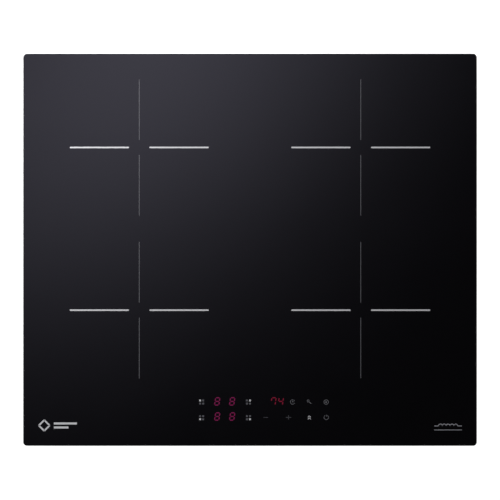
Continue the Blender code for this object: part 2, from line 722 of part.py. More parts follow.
# ---------------------------------------------------------------- mains terminal
def make_terminal():
    """The wiring box opens downwards, so that it is wired with the hob turned over."""
    inside_x = TERMINAL_INSIDE_X
    front, back = TERMINAL_INSIDE_Y
    wall = TERMINAL_WALL
    bottom = SHEET + GAP
    shell = boxes_mesh("terminal_box", [
        ((-inside_x - wall, inside_x + wall), (front - wall, back + wall), (bottom, TERMINAL_ROOF))
    ])
    box = shown("terminal_box", shell, WHITE_PLASTIC)
    flange = ((-0.056, 0.056), (front - 0.009, back + 0.001), (bottom, bottom + 0.0015))
    unite(box, boxes_mesh("terminal_flange", [flange]))
    chamber = ((-inside_x, inside_x), (front, back), (bottom - 0.01, TERMINAL_ROOF - wall))
    cut(box, boxes_mesh("terminal_chamber", [chamber]))
    roof = TERMINAL_ROOF - wall
    saddle_y = (0.218, 0.226)
    saddle_bottom = CABLE_Z + CABLE_RADIUS + GAP
    post_bottom = CABLE_Z - CABLE_RADIUS
    into_roof = roof + wall / 2
    posts = []
    for post_x in (CABLE_X - 0.0115, CABLE_X + 0.0115):
        posts.append(((post_x - 0.003, post_x + 0.003), saddle_y, (post_bottom, into_roof)))
    saddle = ((CABLE_X - 0.006, CABLE_X + 0.006), saddle_y, (saddle_bottom, into_roof))
    unite(box, boxes_mesh("cable_saddle", [*posts, saddle]))
    entry = ((CABLE_X - 0.007, CABLE_X + 0.007), (back - 0.001, back + 0.006), (0.0058, 0.0188))
    cut(box, boxes_mesh("cable_entry", [entry]))
    axis_y, axis_z = LID_AXIS
    pin_radius = 0.0011
    bearings = [
        ((side * (inside_x + wall / 2), axis_y, axis_z), pin_radius + GAP, 0.006, (1, 0, 0))
        for side in (-1, 1)
    ]
    cut(box, cylinders_mesh("lid_bearings", bearings))

    hinge = pivot("terminal_lid_hinge", (0, axis_y, axis_z))
    lid_x = inside_x - 0.0005
    low, high = 0.0002 - axis_z, 0.0020 - axis_z
    lid_front, lid_back = -0.0012, back - 0.0005 - axis_y
    panel = boxes_mesh("terminal_lid", [((-lid_x, lid_x), (lid_front, lid_back), (low, high))])
    lid = shown("terminal_lid", panel, WHITE_PLASTIC, hinge)
    lugs = [
        ((side * 0.0418 - 0.0018, side * 0.0418 + 0.0018), (lid_front, 0.0014), (high - 0.0005, 0.0014))
        for side in (-1, 1)
    ]
    tongue = ((-0.008, 0.008), (lid_back - 0.0015, lid_back), (high - 0.0005, high + 0.004))
    unite(lid, boxes_mesh("lid_lugs", [*lugs, tongue]), hinge)
    pins = [((side * 0.0448, 0, 0), pin_radius, 0.005, (1, 0, 0)) for side in (-1, 1)]
    unite(lid, cylinders_mesh("lid_pins", pins), hinge)

    poles = 5
    pitch = 0.010
    block_x, block_y = -0.010, 0.202
    block_bottom, block_top = 0.014, roof - GAP
    half = poles * pitch / 2 + 0.001
    across, along = (block_x - half, block_x + half), (block_y - 0.009, block_y + 0.009)
    block = boxes_mesh("terminal_block", [(across, along, (block_bottom, block_top))])
    terminal = shown("terminal_block", block, BLACK_PLASTIC)
    cell_y = (block_y - 0.006, block_y + 0.006)
    cell_z = (block_bottom - 0.001, block_bottom + 0.006)
    cells = []
    for number in range(poles):
        x = block_x + (number - (poles - 1) / 2) * pitch
        cells.append(((x - 0.004, x + 0.004), cell_y, cell_z))
    cut(terminal, boxes_mesh("terminal_cells", cells))

    bar_top = post_bottom - GAP
    bar = ((CABLE_X - 0.0145, CABLE_X + 0.0145), saddle_y, (bar_top - 0.0028, bar_top))
    clamp = shown("cable_clamp", boxes_mesh("cable_clamp", [bar]), BLACK_PLASTIC)
    channel = ((CABLE_X, 0.222, CABLE_Z), CABLE_RADIUS + 0.001, 0.02, (0, 1, 0))
    cut(clamp, cylinders_mesh("cable_channel", [channel], steps=16))


# ---------------------------------------------------------------- worktop clamps
def make_clamps():
    """A screw through the shelf and an L-shaped bracket that swings out under the worktop."""
    head_radius, head_height = 0.0042, 0.003
    head_top = CLAMP_HEAD_BOTTOM + head_height
    tip = SHELF_HEIGHT + SHEET + 0.001
    screw_profile = [
        (0, tip),
        (SCREW_RADIUS - 0.0005, tip),
        (SCREW_RADIUS, tip - 0.001),
        (SCREW_RADIUS, head_top),
        (head_radius, head_top),
        (head_radius, CLAMP_HEAD_BOTTOM + 0.0008),
        (head_radius - 0.0008, CLAMP_HEAD_BOTTOM),
        (0, CLAMP_HEAD_BOTTOM),
    ]
    screw = profile_mesh("clamp_screw", screw_profile, False)
    strap = 0.002
    tail, tooth = 0.008, 0.005
    side_view = [
        (-tail, 0),
        (CLAMP_REACH, 0),
        (CLAMP_REACH, strap + tooth),
        (CLAMP_REACH - strap, strap + tooth),
        (CLAMP_REACH - strap, strap),
        (-tail, strap),
    ]
    bracket = plate_mesh("clamp_bracket", side_view, -CLAMP_WIDTH / 2, CLAMP_WIDTH)
    bracket.transform(Matrix.Rotation(math.pi / 2, 4, "X"))
    bracket.transform(Matrix.Translation((0, 0, head_top + GAP)))
    for row, end in (("rear", 1), ("front", -1)):
        for column, side in SIDES.items():
            name = f"{row}_{column}"
            axis = pivot(f"{name}_clamp", (side * CLAMP_X, end * CLAMP_Y, 0))
            turned(shown(f"{name}_clamp_screw", screw, SCREW_STEEL, axis), 12)
            inwards = (0, 0, -end * math.pi / 2)
            arm = shown(f"{name}_clamp_bracket", bracket, GALVANISED, axis, (0, 0, 0), inwards)
            hole = ((0, 0, head_top), SCREW_RADIUS + GAP, 0.01, (0, 0, 1))
            cut(arm, cylinders_mesh(f"{name}_bracket_hole", [hole], steps=12), axis)


make_top()
make_glass_frame()
make_tray()
make_deck()
make_coils()
make_fans()
make_power_boards()
make_controls()
make_terminal()
make_clamps()
bpy.context.view_layer.update()
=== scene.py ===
"""The looks of a built-in induction hob: its glass, prints and lights, its pressed steel tray, and
the coils, fans and electronics inside. Sizes are in metres and colours are linear."""

import math
from contextlib import contextmanager

import bmesh
import bpy
from bpy.props import FloatProperty, FloatVectorProperty, PointerProperty
from bpy.types import Operator, Panel, PropertyGroup
from mathutils import Matrix, Vector


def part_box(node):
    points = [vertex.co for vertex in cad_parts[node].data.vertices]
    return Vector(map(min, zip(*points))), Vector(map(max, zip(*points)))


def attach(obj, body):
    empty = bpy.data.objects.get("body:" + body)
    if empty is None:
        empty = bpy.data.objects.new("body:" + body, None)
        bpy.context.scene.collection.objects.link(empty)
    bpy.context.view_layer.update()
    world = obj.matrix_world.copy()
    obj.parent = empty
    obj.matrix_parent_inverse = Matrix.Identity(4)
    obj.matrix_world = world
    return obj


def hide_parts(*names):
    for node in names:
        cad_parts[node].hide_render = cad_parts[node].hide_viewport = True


bl_info = {
    "name": "Induction Hob",
    "version": (1, 0, 0),
    "blender": (4, 5, 0),
    "location": "View3D > Sidebar > Hob",
    "description": "Builds the visible surfaces of a built-in induction hob",
    "category": "Object",
}

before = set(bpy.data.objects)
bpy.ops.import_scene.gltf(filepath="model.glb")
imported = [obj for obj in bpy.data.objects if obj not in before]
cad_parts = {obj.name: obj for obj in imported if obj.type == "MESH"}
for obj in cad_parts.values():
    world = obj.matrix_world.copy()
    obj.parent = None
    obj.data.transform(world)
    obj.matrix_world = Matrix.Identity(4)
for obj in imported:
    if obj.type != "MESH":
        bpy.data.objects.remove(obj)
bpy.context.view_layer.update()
GLASS_LOW, GLASS_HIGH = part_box("glass_top")
TOP = GLASS_HIGH.z
SIDES = {"left": -1, "right": 1}
HINGE = (0.1812, 0.0034)  # Y and Z of the terminal lid's axis
ROWS = ("rear", "front")
ZONES = [f"{row}_{side}" for row in ROWS for side in SIDES]


# ------------------------------------------------------------------ settings
def length(name, description, default):
    return FloatProperty(
        name=name, description=description, default=default, unit="LENGTH", precision=5, min=0
    )


def colour(name, description, default):
    return FloatVectorProperty(
        name=name, description=description, default=default, subtype="COLOR", size=3, min=0, max=1
    )


class HobGlassSettings(PropertyGroup):
    corner: length("Corner", "Radius of the glass pane's corners", 0.005)
    arris: length("Arris", "Width of the ground edge", 0.0009)
    tint: colour("Tint", "Colour of the glass-ceramic", (0.0016, 0.0015, 0.0019))


class HobPrintSettings(PropertyGroup):
    inner: length("Bar start", "Distance from a zone's centre to its bars", 0.0133)
    outer: length("Bar end", "Distance from a zone's centre to the far ends of its bars", 0.0903)
    bar: length("Bar width", "Width of the bars", 0.0020)
    hairline: length("Hairline", "Width of the fine lines", 0.0006)
    hairline_inner: length("Hairline start", "Distance from a zone's centre to its lines", 0.0098)
    hairline_outer: length("Hairline end", "Distance from a zone's centre to the lines' ends",
                           0.0886)
    ink_height: length("Ink height", "How far the print stands above the glass", 0.00004)
    white: colour("White ink", "Enamel of the bars and the bright marks", (0.64, 0.64, 0.66))
    grey: colour("Grey ink", "Enamel of the fine lines and the small symbols", (0.17, 0.17, 0.185))
    dim: colour("Dim ink", "Enamel of the unlit squares", (0.11, 0.11, 0.125))


class HobDisplaySettings(PropertyGroup):
    height: length("Digit height", "Height of a digit", 0.0095)
    width: length("Digit width", "Width of a digit", 0.0056)
    stroke: length("Stroke", "Width of a segment", 0.0013)
    slant: FloatProperty(
        name="Slant", description="Lean of the digits", default=math.radians(9), subtype="ANGLE"
    )
    ink: length("Film", "Half thickness of a lit segment", 0.00004)
    zone_light: colour("Zone light", "Light of the zones' level digits", (0.165, 0.006, 0.060))
    timer_light: colour("Timer light", "Light of the timer digits", (0.175, 0.004, 0.022))


class HobTraySettings(PropertyGroup):
    sheet: length("Sheet", "Thickness of the tray's steel", 0.0008)
    bend: length("Bend", "Outer radius of the tray's bends", 0.0018)
    tub_x: length("Tub width", "Width of the deep part", 0.500)
    tub_y: length("Tub depth", "Depth of the deep part", 0.468)
    tub_corner: length("Tub corner", "Corner radius of the deep part", 0.012)
    rim_x: length("Rim width", "Width of the upright rim", 0.556)
    rim_y: length("Rim depth", "Depth of the upright rim", 0.476)
    rim_corner: length("Rim corner", "Corner radius of the rim", 0.010)
    shelf: length("Shelf", "Height of the shelf between tub and rim", 0.034)
    rim_top: length("Rim top", "Height of the rim's upper edge", 0.0532)


class HobStageSettings(PropertyGroup):
    lens: FloatProperty(name="Lens", description="Focal length in millimetres", default=200)
    field: length("Field", "Width of the picture at the glass", 0.6500)
    forward: length("Forward", "How far the camera stands in front of the glass's middle", 0.0003)
    key: FloatProperty(name="Key light", description="Power of the key light in watts", default=9)
    floor_glow: FloatProperty(name="Floor glow", description="Light of the pale floor",
                              default=0.86)
    surround: FloatProperty(name="Surround", description="Light of the room", default=0.42)
    below: FloatProperty(name="Below", description="Extra light from below the floor", default=0.55)
    hole_x: length("Hole width", "Half width of the opening in the floor under the hob", 0.244)
    hole_y: length("Hole depth", "Half depth of the opening in the floor under the hob", 0.228)


# ------------------------------------------------------------------ modelling
def deselect():
    if bpy.context.mode != "OBJECT":
        bpy.ops.object.mode_set(mode="OBJECT")
    bpy.ops.object.select_all(action="DESELECT")


def activate(piece):
    deselect()
    piece.select_set(True)
    bpy.context.view_layer.objects.active = piece
    return piece


def settle(name):
    """Names the primitive just added, and moves its place and size into its mesh."""
    piece = bpy.context.object
    piece.name = name
    piece.data.name = name
    bpy.ops.object.transform_apply(location=True, rotation=True, scale=True)
    return piece


def add_box(name, low, high):
    deselect()
    low, high = Vector(low), Vector(high)
    bpy.ops.mesh.primitive_cube_add(size=1, location=(low + high) / 2, scale=high - low)
    return settle(name)


def add_cylinder(name, centre, radius, height, sides=32, axis="Z", top=None):
    """A cylinder, or a cone if its top has a radius of its own."""
    deselect()
    turn = {"X": (0, math.pi / 2, 0), "Y": (-math.pi / 2, 0, 0), "Z": (0, 0, 0)}[axis]
    bpy.ops.mesh.primitive_cone_add(
        vertices=sides,
        radius1=radius,
        radius2=radius if top is None else top,
        depth=height,
        location=centre,
        rotation=turn,
    )
    return settle(name)


def moved(piece, matrix):
    piece.data.transform(matrix)
    if matrix.determinant() < 0:
        piece.data.flip_normals()
    return piece


def copied(piece, matrix, name=None):
    """A copy with its own mesh."""
    copy = piece.copy()
    copy.data = piece.data.copy()
    copy.name = name or piece.name
    bpy.context.scene.collection.objects.link(copy)
    return moved(copy, matrix)


def shift(x=0.0, y=0.0, z=0.0):
    return Matrix.Translation((x, y, z))


def turn(angle, centre=(0, 0, 0), axis="Z"):
    place = Matrix.Translation(centre)
    return place @ Matrix.Rotation(angle, 4, axis) @ place.inverted()


def joined(name, pieces):
    deselect()
    for piece in pieces:
        piece.select_set(True)
    bpy.context.view_layer.objects.active = pieces[0]
    if len(pieces) > 1:
        bpy.ops.object.join()
    pieces[0].name = name
    pieces[0].data.name = name
    return pieces[0]


@contextmanager
def editing(piece, kind, test):
    """Edit mode, with the vertices, edges or faces selected that pass the test."""
    activate(piece)
    bpy.ops.object.mode_set(mode="EDIT")
    bpy.ops.mesh.select_mode(type=kind)
    bpy.ops.mesh.select_all(action="DESELECT")
    mesh = bmesh.from_edit_mesh(piece.data)
    mesh.normal_update()
    for part in {"VERT": mesh.verts, "EDGE": mesh.edges, "FACE": mesh.faces}[kind]:
        if test(part):
            part.select_set(True)
    mesh.select_flush_mode()
    bmesh.update_edit_mesh(piece.data)
    yield
    bpy.ops.object.mode_set(mode="OBJECT")


def everything(part):
    return True


def upright(edge):
    a, b = (vert.co for vert in edge.verts)
    return abs((a - b).normalized().z) > 0.99


def edge_at(height, tolerance=1e-5):
    """True for the edges that lie at one height."""
    return lambda edge: all(abs(vert.co.z - height) < tolerance for vert in edge.verts)


def bevel(piece, test, width, segments=3):
    with editing(piece, "EDGE", test):
        bpy.ops.mesh.bevel(offset=width, segments=segments, affect="EDGES")
    return piece


def rounded(piece, width, segments=2, angle=40):
    """Rounds every sharp edge with a Bevel modifier."""
    return modified(
        piece, "BEVEL", width=width, segments=segments, angle_limit=math.radians(angle)
    )


def modified(piece, kind, **settings):
    activate(piece)
    bpy.ops.object.modifier_add(type=kind)
    modifier = piece.modifiers[-1]
    for key, value in settings.items():
        setattr(modifier, key, value)
    bpy.ops.object.modifier_apply(modifier=modifier.name)
    return piece


def cut(piece, cutter, operation="DIFFERENCE"):
    modified(piece, "BOOLEAN", object=cutter, operation=operation)
    bpy.data.objects.remove(cutter)
    return piece


def add_path(name, points):
    """A chain of edges, drawn by extruding one vertex from point to point."""
    deselect()
    points = [Vector(point) for point in points]
    bpy.ops.mesh.primitive_plane_add(size=0.001, location=points[0])
    settle(name)
    bpy.ops.object.mode_set(mode="EDIT")
    bpy.ops.mesh.select_mode(type="VERT")
    bpy.ops.mesh.select_all(action="SELECT")
    bpy.ops.mesh.merge(type="CENTER")
    for before, after in zip(points, points[1:]):
        bpy.ops.mesh.extrude_vertices_move(TRANSFORM_OT_translate={"value": after - before})
    bpy.ops.object.mode_set(mode="OBJECT")
    return bpy.context.object


def consistent(piece):
    """Merges doubled points and turns all faces outwards."""
    with editing(piece, "VERT", everything):
        bpy.ops.mesh.remove_doubles(threshold=1e-6)
        bpy.ops.mesh.normals_make_consistent(inside=False)
    return piece


def add_prism(name, points, rise):
    """A flat outline filled and pulled out along `rise`."""
    piece = add_path(name, points)
    with editing(piece, "VERT", everything):
        bpy.ops.mesh.edge_face_add()
        bpy.ops.mesh.select_all(action="SELECT")
        bpy.ops.mesh.extrude_region_move(TRANSFORM_OT_translate={"value": Vector(rise)})
    return consistent(piece)


def add_turned(name, profile, centre, steps=32, closed=False):
    """A profile of (radius, height) points spun about an upright axis."""
    x, y = centre
    points = [(x + radius, y, height) for radius, height in profile]
    if closed:
        points.append(points[0])
    piece = add_path(name, points)
    with editing(piece, "VERT", everything):
        bpy.ops.mesh.spin(steps=steps, angle=2 * math.pi, center=(x, y, 0), axis=(0, 0, 1))
    return consistent(piece)


def add_wire(name, points, radius, sides=8, ends="FULL"):
    """A round wire along a smooth run of points."""
    curve = bpy.data.curves.new(name, "CURVE")
    curve.dimensions = "3D"
    curve.bevel_depth = radius
    curve.bevel_resolution = max(0, sides // 4 - 1)
    curve.use_fill_caps = ends == "FULL"
    spline = curve.splines.new("POLY")
    spline.points.add(len(points) - 1)
    for point, place in zip(spline.points, points):
        point.co = (*place, 1)
    wire = bpy.data.objects.new(name, curve)
    bpy.context.scene.collection.objects.link(wire)
    activate(wire)
    bpy.ops.object.convert(target="MESH")
    return consistent(bpy.context.object)


def smooth_run(points, steps=6):
    """Points along a Catmull-Rom curve through the given ones."""
    points = [Vector(point) for point in points]
    padded = [2 * points[0] - points[1], *points, 2 * points[-1] - points[-2]]
    run = []
    for a, b, c, d in zip(padded, padded[1:], padded[2:], padded[3:]):
        for step in range(steps):
            t = step / steps
            run.append(0.5 * (2 * b + (c - a) * t + (2 * a - 5 * b + 4 * c - d) * t * t
                              + (3 * b - a - 3 * c + d) * t ** 3))
    run.append(points[-1])
    return run


def finish(piece, body, material, slot, replaces=(), angle=35):
    """Shades a piece, paints it, and hands it to the body that it moves with."""
    activate(piece)
    bpy.ops.object.shade_smooth_by_angle(angle=math.radians(angle))
    modified(piece, "WEIGHTED_NORMAL", keep_sharp=True)
    piece.data.materials.clear()
    piece.data.materials.append(material)
    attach(piece, body)
    if replaces:
        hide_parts(*replaces)
    return piece


def stand_in(node, pieces, body, material, slot, angle=35):
    """Finishes the parts that show one CAD node, as one piece."""
    return finish(joined(f"{node}_shown", pieces), body, material, slot, [node], angle)


def repaint(node, material):
    """Gives a CAD node that is kept as it is its material."""
    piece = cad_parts[node]
    piece.data.materials.clear()
    piece.data.materials.append(material)


# ------------------------------------------------------------------ shader maths
class Socket:
    """A node's output that can be used in a sum."""

    def __init__(self, shader, link):
        self.shader = shader
        self.link = link

    def math(self, operation, *others):
        inputs = dict(enumerate([self, *others]))
        return self.shader.node("Math", {"operation": operation}, inputs)

    def __add__(self, other):
        return self.math("ADD", other)

    def __sub__(self, other):
        return self.math("SUBTRACT", other)

    def __rsub__(self, other):
        return self.shader.node("Math", {"operation": "SUBTRACT"}, {0: other, 1: self})

    def __mul__(self, other):
        return self.math("MULTIPLY", other)

    def __truediv__(self, other):
        return self.math("DIVIDE", other)

    def __gt__(self, other):
        return self.math("GREATER_THAN", other)

    def __lt__(self, other):
        return self.math("LESS_THAN", other)

    def __abs__(self):
        return self.math("ABSOLUTE")

    __radd__ = __add__
    __rmul__ = __mul__


class Shader:
    """A node tree that is written as expressions."""

    def __init__(self, tree, coordinates="Object"):
        self.tree = tree
        self.place = self.node("TexCoord", output=coordinates)

    def node(self, kind, settings=None, inputs=None, output=0):
        made = self.tree.nodes.new("ShaderNode" + kind)
        for key, value in (settings or {}).items():
            if key == "stops":
                for stop, (position, shade) in zip(self.stops(made, len(value)), value):
                    stop.position = position
                    stop.color = shade
            else:
                setattr(made, key, value)
        for key, value in (inputs or {}).items():
            self.feed(made.inputs[key], value)
        return Socket(self, made.outputs[output])

    @staticmethod
    def stops(ramp, count):
        elements = ramp.color_ramp.elements
        while len(elements) < count:
            elements.new(1)
        return elements

    def feed(self, target, value):
        if isinstance(value, Socket):
            self.tree.links.new(value.link, target)
        else:
            target.default_value = value

    def axes(self):
        """X, Y and Z of the place."""
        split = self.node("SeparateXYZ", None, {0: self.place})
        outputs = split.link.node.outputs
        return [Socket(self, link) for link in outputs]

    def mix(self, first, second, factor):
        colours = [(*shade, 1) if isinstance(shade, (tuple, list)) and len(shade) == 3 else shade
                   for shade in (first, second)]
        inputs = {0: factor, 6: colours[0], 7: colours[1]}
        return self.node("Mix", {"data_type": "RGBA"}, inputs, 2)

    def between(self, value, low, high, out_low=0.0, out_high=1.0):
        """A value's range carried over to another range, smoothly and with ends."""
        settings = {"interpolation_type": "SMOOTHSTEP"}
        return self.node("MapRange", settings, {0: value, 1: low, 2: high, 3: out_low, 4: out_high})

    def stretched(self, scale):
        return self.node("Mapping", None, {"Vector": self.place, "Scale": scale})

    def noise(self, scale, detail=2.0, place=None, roughness=0.5):
        inputs = {"Vector": place or self.place, "Scale": scale, "Detail": detail}
        inputs["Roughness"] = roughness
        return self.node("TexNoise", None, inputs)

    def cells(self, scale, output="Distance", place=None, **settings):
        return self.node("TexVoronoi", settings, {"Vector": place or self.place, "Scale": scale},
                         output)

    def bump(self, height, distance, strength=1.0):
        inputs = {"Height": height, "Distance": distance, "Strength": strength}
        return self.node("Bump", None, inputs)


class Finish(Shader):
    """A surface material. Its values are set by the names of the shader's sockets."""

    def __init__(self, name):
        self.material = bpy.data.materials.new(name)
        self.material.use_nodes = True
        super().__init__(self.material.node_tree)
        self.surface = self.tree.nodes["Principled BSDF"]

    def paint(self, **values):
        for key, value in values.items():
            words = key.replace("_", " ").title().replace("Ior", "IOR")
            if isinstance(value, (tuple, list)) and len(value) == 3:
                value = (*value, 1)
            self.feed(self.surface.inputs[words], value)
        return self.material


# ------------------------------------------------------------------ finishes
def black_glass(settings):
    """Polished black glass-ceramic with a finely ground, greyer edge."""
    glass = Finish("black_glass")
    x, y = glass.axes()[:2]
    past_x = abs(x) - (GLASS_HIGH.x - settings.arris)
    past_y = abs(y) - (GLASS_HIGH.y - settings.arris)
    ground = glass.between(past_x.math("MAXIMUM", past_y), -0.00005, 0.00005)
    clouds = glass.noise(9, 3)
    wiped = glass.noise(60, 4, glass.stretched((1, 0.25, 1)))
    polish = 0.035 + clouds * 0.02 + wiped * 0.012
    grain = glass.noise(5000, 2)
    deep = glass.mix(tuple(settings.tint), tuple(2.2 * c for c in settings.tint), clouds)
    tone = glass.mix(deep, (0.009, 0.009, 0.010), ground)
    return glass.paint(
        base_color=tone,
        roughness=polish + ground * 0.5,
        ior=1.5,
        normal=glass.bump(grain, 0.000002, 0.15),
    )


def enamel(name, shade):
    """Screen-printed ceramic ink: matt, a little uneven, with a fine dot grain."""
    ink = Finish(name)
    dots = ink.cells(3500)
    patchy = ink.noise(400, 3)
    worn = tuple(0.86 * c for c in shade)
    return ink.paint(
        base_color=ink.mix(worn, tuple(shade), patchy),
        roughness=0.42 + patchy * 0.2,
        normal=ink.bump(dots, 0.00001, 0.3),
    )


def segment_light(name, light):
    """A lit segment seen through the dark glass, its light a little patchy."""
    lit = Finish(name)
    patchy = lit.noise(900, 2)
    low = tuple(0.75 * c for c in light)
    return lit.paint(
        base_color=(0.01, 0.004, 0.005),
        roughness=0.12 + patchy * 0.08,
        emission_color=lit.mix(low, tuple(light), patchy),
        emission_strength=1.0,
    )


def spangled(name, light, dark, scale=230):
    """Galvanised sheet: frozen zinc flakes of many greys under faint rolling marks."""
    zinc = Finish(name)
    flakes = zinc.node("SeparateColor", None, {0: zinc.cells(scale, "Color")})
    rolled = zinc.noise(350, 3, zinc.stretched((1, 0.05, 1)))
    dull = zinc.noise(14, 4)
    shade = zinc.mix(dark, light, flakes * 0.55 + rolled * 0.25 + dull * 0.2)
    return zinc.paint(
        base_color=shade,
        metallic=0.85,
        roughness=0.27 + flakes * 0.14 + dull * 0.18,
        normal=zinc.bump(flakes * 0.7 + rolled * 0.3, 0.00002, 0.35),
    )


def metal(name, light, dark, grain=600, stretch=(1, 0.08, 1), rough=0.25, relief=0.000008):
    """Drawn, rolled or plated metal, with a fine grain that runs one way."""
    bare = Finish(name)
    drawn_marks = bare.noise(grain, 4, bare.stretched(stretch))
    dull = bare.noise(70, 3)
    shade = bare.mix(dark, light, drawn_marks * 0.6 + dull * 0.4)
    return bare.paint(
        base_color=shade,
        metallic=1.0,
        roughness=rough + drawn_marks * 0.12 + dull * 0.12,
        normal=bare.bump(drawn_marks, relief, 0.5),
    )


def plated_steel(name):
    """Zinc-plated screws."""
    return metal(name, (0.70, 0.70, 0.70), (0.42, 0.42, 0.44), 900, (1, 1, 0.3))


def moulded(name, light, dark, rough=0.42, grain=2200, relief=0.00002):
    """Moulded plastic or rubber with an eroded texture and faint flow marks."""
    plastic = Finish(name)
    skin = plastic.noise(grain, 2)
    flow = plastic.noise(45, 4)
    return plastic.paint(
        base_color=plastic.mix(dark, light, flow * 0.7 + skin * 0.3),
        roughness=rough + flow * 0.12 + skin * 0.08,
        normal=plastic.bump(skin, relief, 0.35),
    )


def foam():
    """Closed-cell sealing foam with a torn, open skin."""
    cellular = Finish("seal_foam")
    pores = cellular.cells(1500)
    patchy = cellular.noise(120, 3)
    return cellular.paint(
        base_color=cellular.mix((0.012, 0.012, 0.013), (0.05, 0.05, 0.052), pores + patchy * 0.3),
        roughness=0.8 + patchy * 0.15,
        normal=cellular.bump(pores, 0.0002, 0.7),
    )


def litz(name, centre):
    """Enamelled copper strands twisted into one rope, which winds about a coil's centre."""
    copper = Finish(name)
    x, y, z = copper.axes()
    off_x, off_y = x - centre[0], y - centre[1]
    radius = (off_x * off_x + off_y * off_y).math("SQRT")
    run = off_y.math("ARCTAN2", off_x) * radius
    strands = (run * 2600 + radius * 5200 + z * 3000).math("SINE")
    fine = (run * 9100 + radius * 17000).math("SINE")
    aged = copper.noise(90, 3)
    shade = copper.mix((0.36, 0.095, 0.030), (0.72, 0.26, 0.10),
                       strands * 0.3 + fine * 0.15 + aged * 0.6)
    return copper.paint(
        base_color=shade,
        metallic=0.8,
        roughness=0.30 + aged * 0.15,
        coat_weight=0.4,
        normal=copper.bump(strands * 0.7 + fine * 0.3, 0.0002, 0.8),
    )


def circuit(name, mask, copper_tone):
    """Lacquered board with straight conductor tracks, solder pads and a faint weave."""
    board = Finish(name)
    x, y = board.axes()[:2]
    pitch = 400

    def chance(*parts):
        keys = ["X", "Y", "Z"]
        spot = board.node("CombineXYZ", None, {key: part for key, part in zip(keys, parts)})
        return board.node("TexWhiteNoise", None, {"Vector": spot})

    def lines(across, along, seed):
        middle = abs(((across * pitch).math("FRACT")) - 0.5) < 0.17
        kept = chance((across * pitch).math("FLOOR"), (along * 55).math("FLOOR"), seed) > 0.45
        return middle * kept

    region = board.noise(22, 1) > 0.5
    tracks = lines(x, y, 0.0) * region + lines(y, x, 7.0) * (region * -1 + 1)
    off_x = (x * pitch).math("FRACT") - 0.5
    off_y = (y * pitch).math("FRACT") - 0.5
    spot = (off_x * off_x + off_y * off_y) < 0.07
    pads = spot * (chance((x * pitch).math("FLOOR"), (y * pitch).math("FLOOR"), 3.0) > 0.80)
    weave = board.noise(1800, 2)
    lacquer = board.mix(mask, copper_tone, tracks * 0.8 + weave * 0.12)
    return board.paint(
        base_color=board.mix(lacquer, (0.62, 0.60, 0.56), pads),
        metallic=pads * 0.9,
        roughness=0.30 + weave * 0.12 + pads * 0.05,
        normal=board.bump(tracks + pads * 1.5, 0.00004, 0.6),
    )


def striped_ribbon():
    """Grey flat cable: moulded ridges over the cores, with one marked edge."""
    ribbon = Finish("ribbon_cable")
    x = ribbon.axes()[0]
    ridges = (x * 4947).math("SINE")
    marked = ribbon.between(x, -0.0747, -0.0749)
    worn = ribbon.noise(200, 3)
    grey = ribbon.mix((0.22, 0.22, 0.23), (0.34, 0.34, 0.35), ridges * 0.4 + worn * 0.4)
    return ribbon.paint(
        base_color=ribbon.mix(grey, (0.35, 0.03, 0.03), marked),
        roughness=0.4 + worn * 0.15,
        normal=ribbon.bump(ridges, 0.0002, 0.6),
    )


def flaky_mica():
    """Pressed mica paper: pale scales in a yellowish binder."""
    mica = Finish("mica_sheet")
    scales = mica.node("SeparateColor", None, {0: mica.cells(700, "Color")})
    stain = mica.noise(25, 4)
    return mica.paint(
        base_color=mica.mix((0.42, 0.36, 0.24), (0.70, 0.65, 0.52), scales * 0.6 + stain * 0.4),
        roughness=0.32 + scales * 0.25,
        normal=mica.bump(scales, 0.00003, 0.5),
    )


# ------------------------------------------------------------------ flat prints on the glass
def stroke(start, end, width, height):
    """One straight stroke of ink, sunk a little into the glass so that nothing shows below it."""
    start, end = Vector((*start, 0)), Vector((*end, 0))
    run = end - start
    half = run.length / 2
    piece = add_box("stroke", (-half, -width / 2, TOP - height), (half, width / 2, TOP + height))
    middle = (start + end) / 2
    return moved(piece, shift(*middle) @ Matrix.Rotation(math.atan2(run.y, run.x), 4, "Z"))


def arc(centre, radius, start, end, steps=18):
    angles = [math.radians(start + (end - start) * step / steps) for step in range(steps + 1)]
    return [(centre[0] + radius * math.cos(a), centre[1] + radius * math.sin(a)) for a in angles]


def drawn(lines, place, width, height):
    """Strokes along lists of points, which are given from the symbol's own middle."""
    strokes = []
    for points in lines:
        spots = [(place[0] + x, place[1] + y) for x, y in points]
        for start, end in zip(spots, spots[1:]):
            strokes.append(stroke(start, end, width, height))
    return strokes


MM = 0.001
PANEL_TOP, PANEL_BOTTOM = -0.1979, -0.2179


def scaled(lines):
    return [[(x * MM, y * MM) for x, y in points] for points in lines]


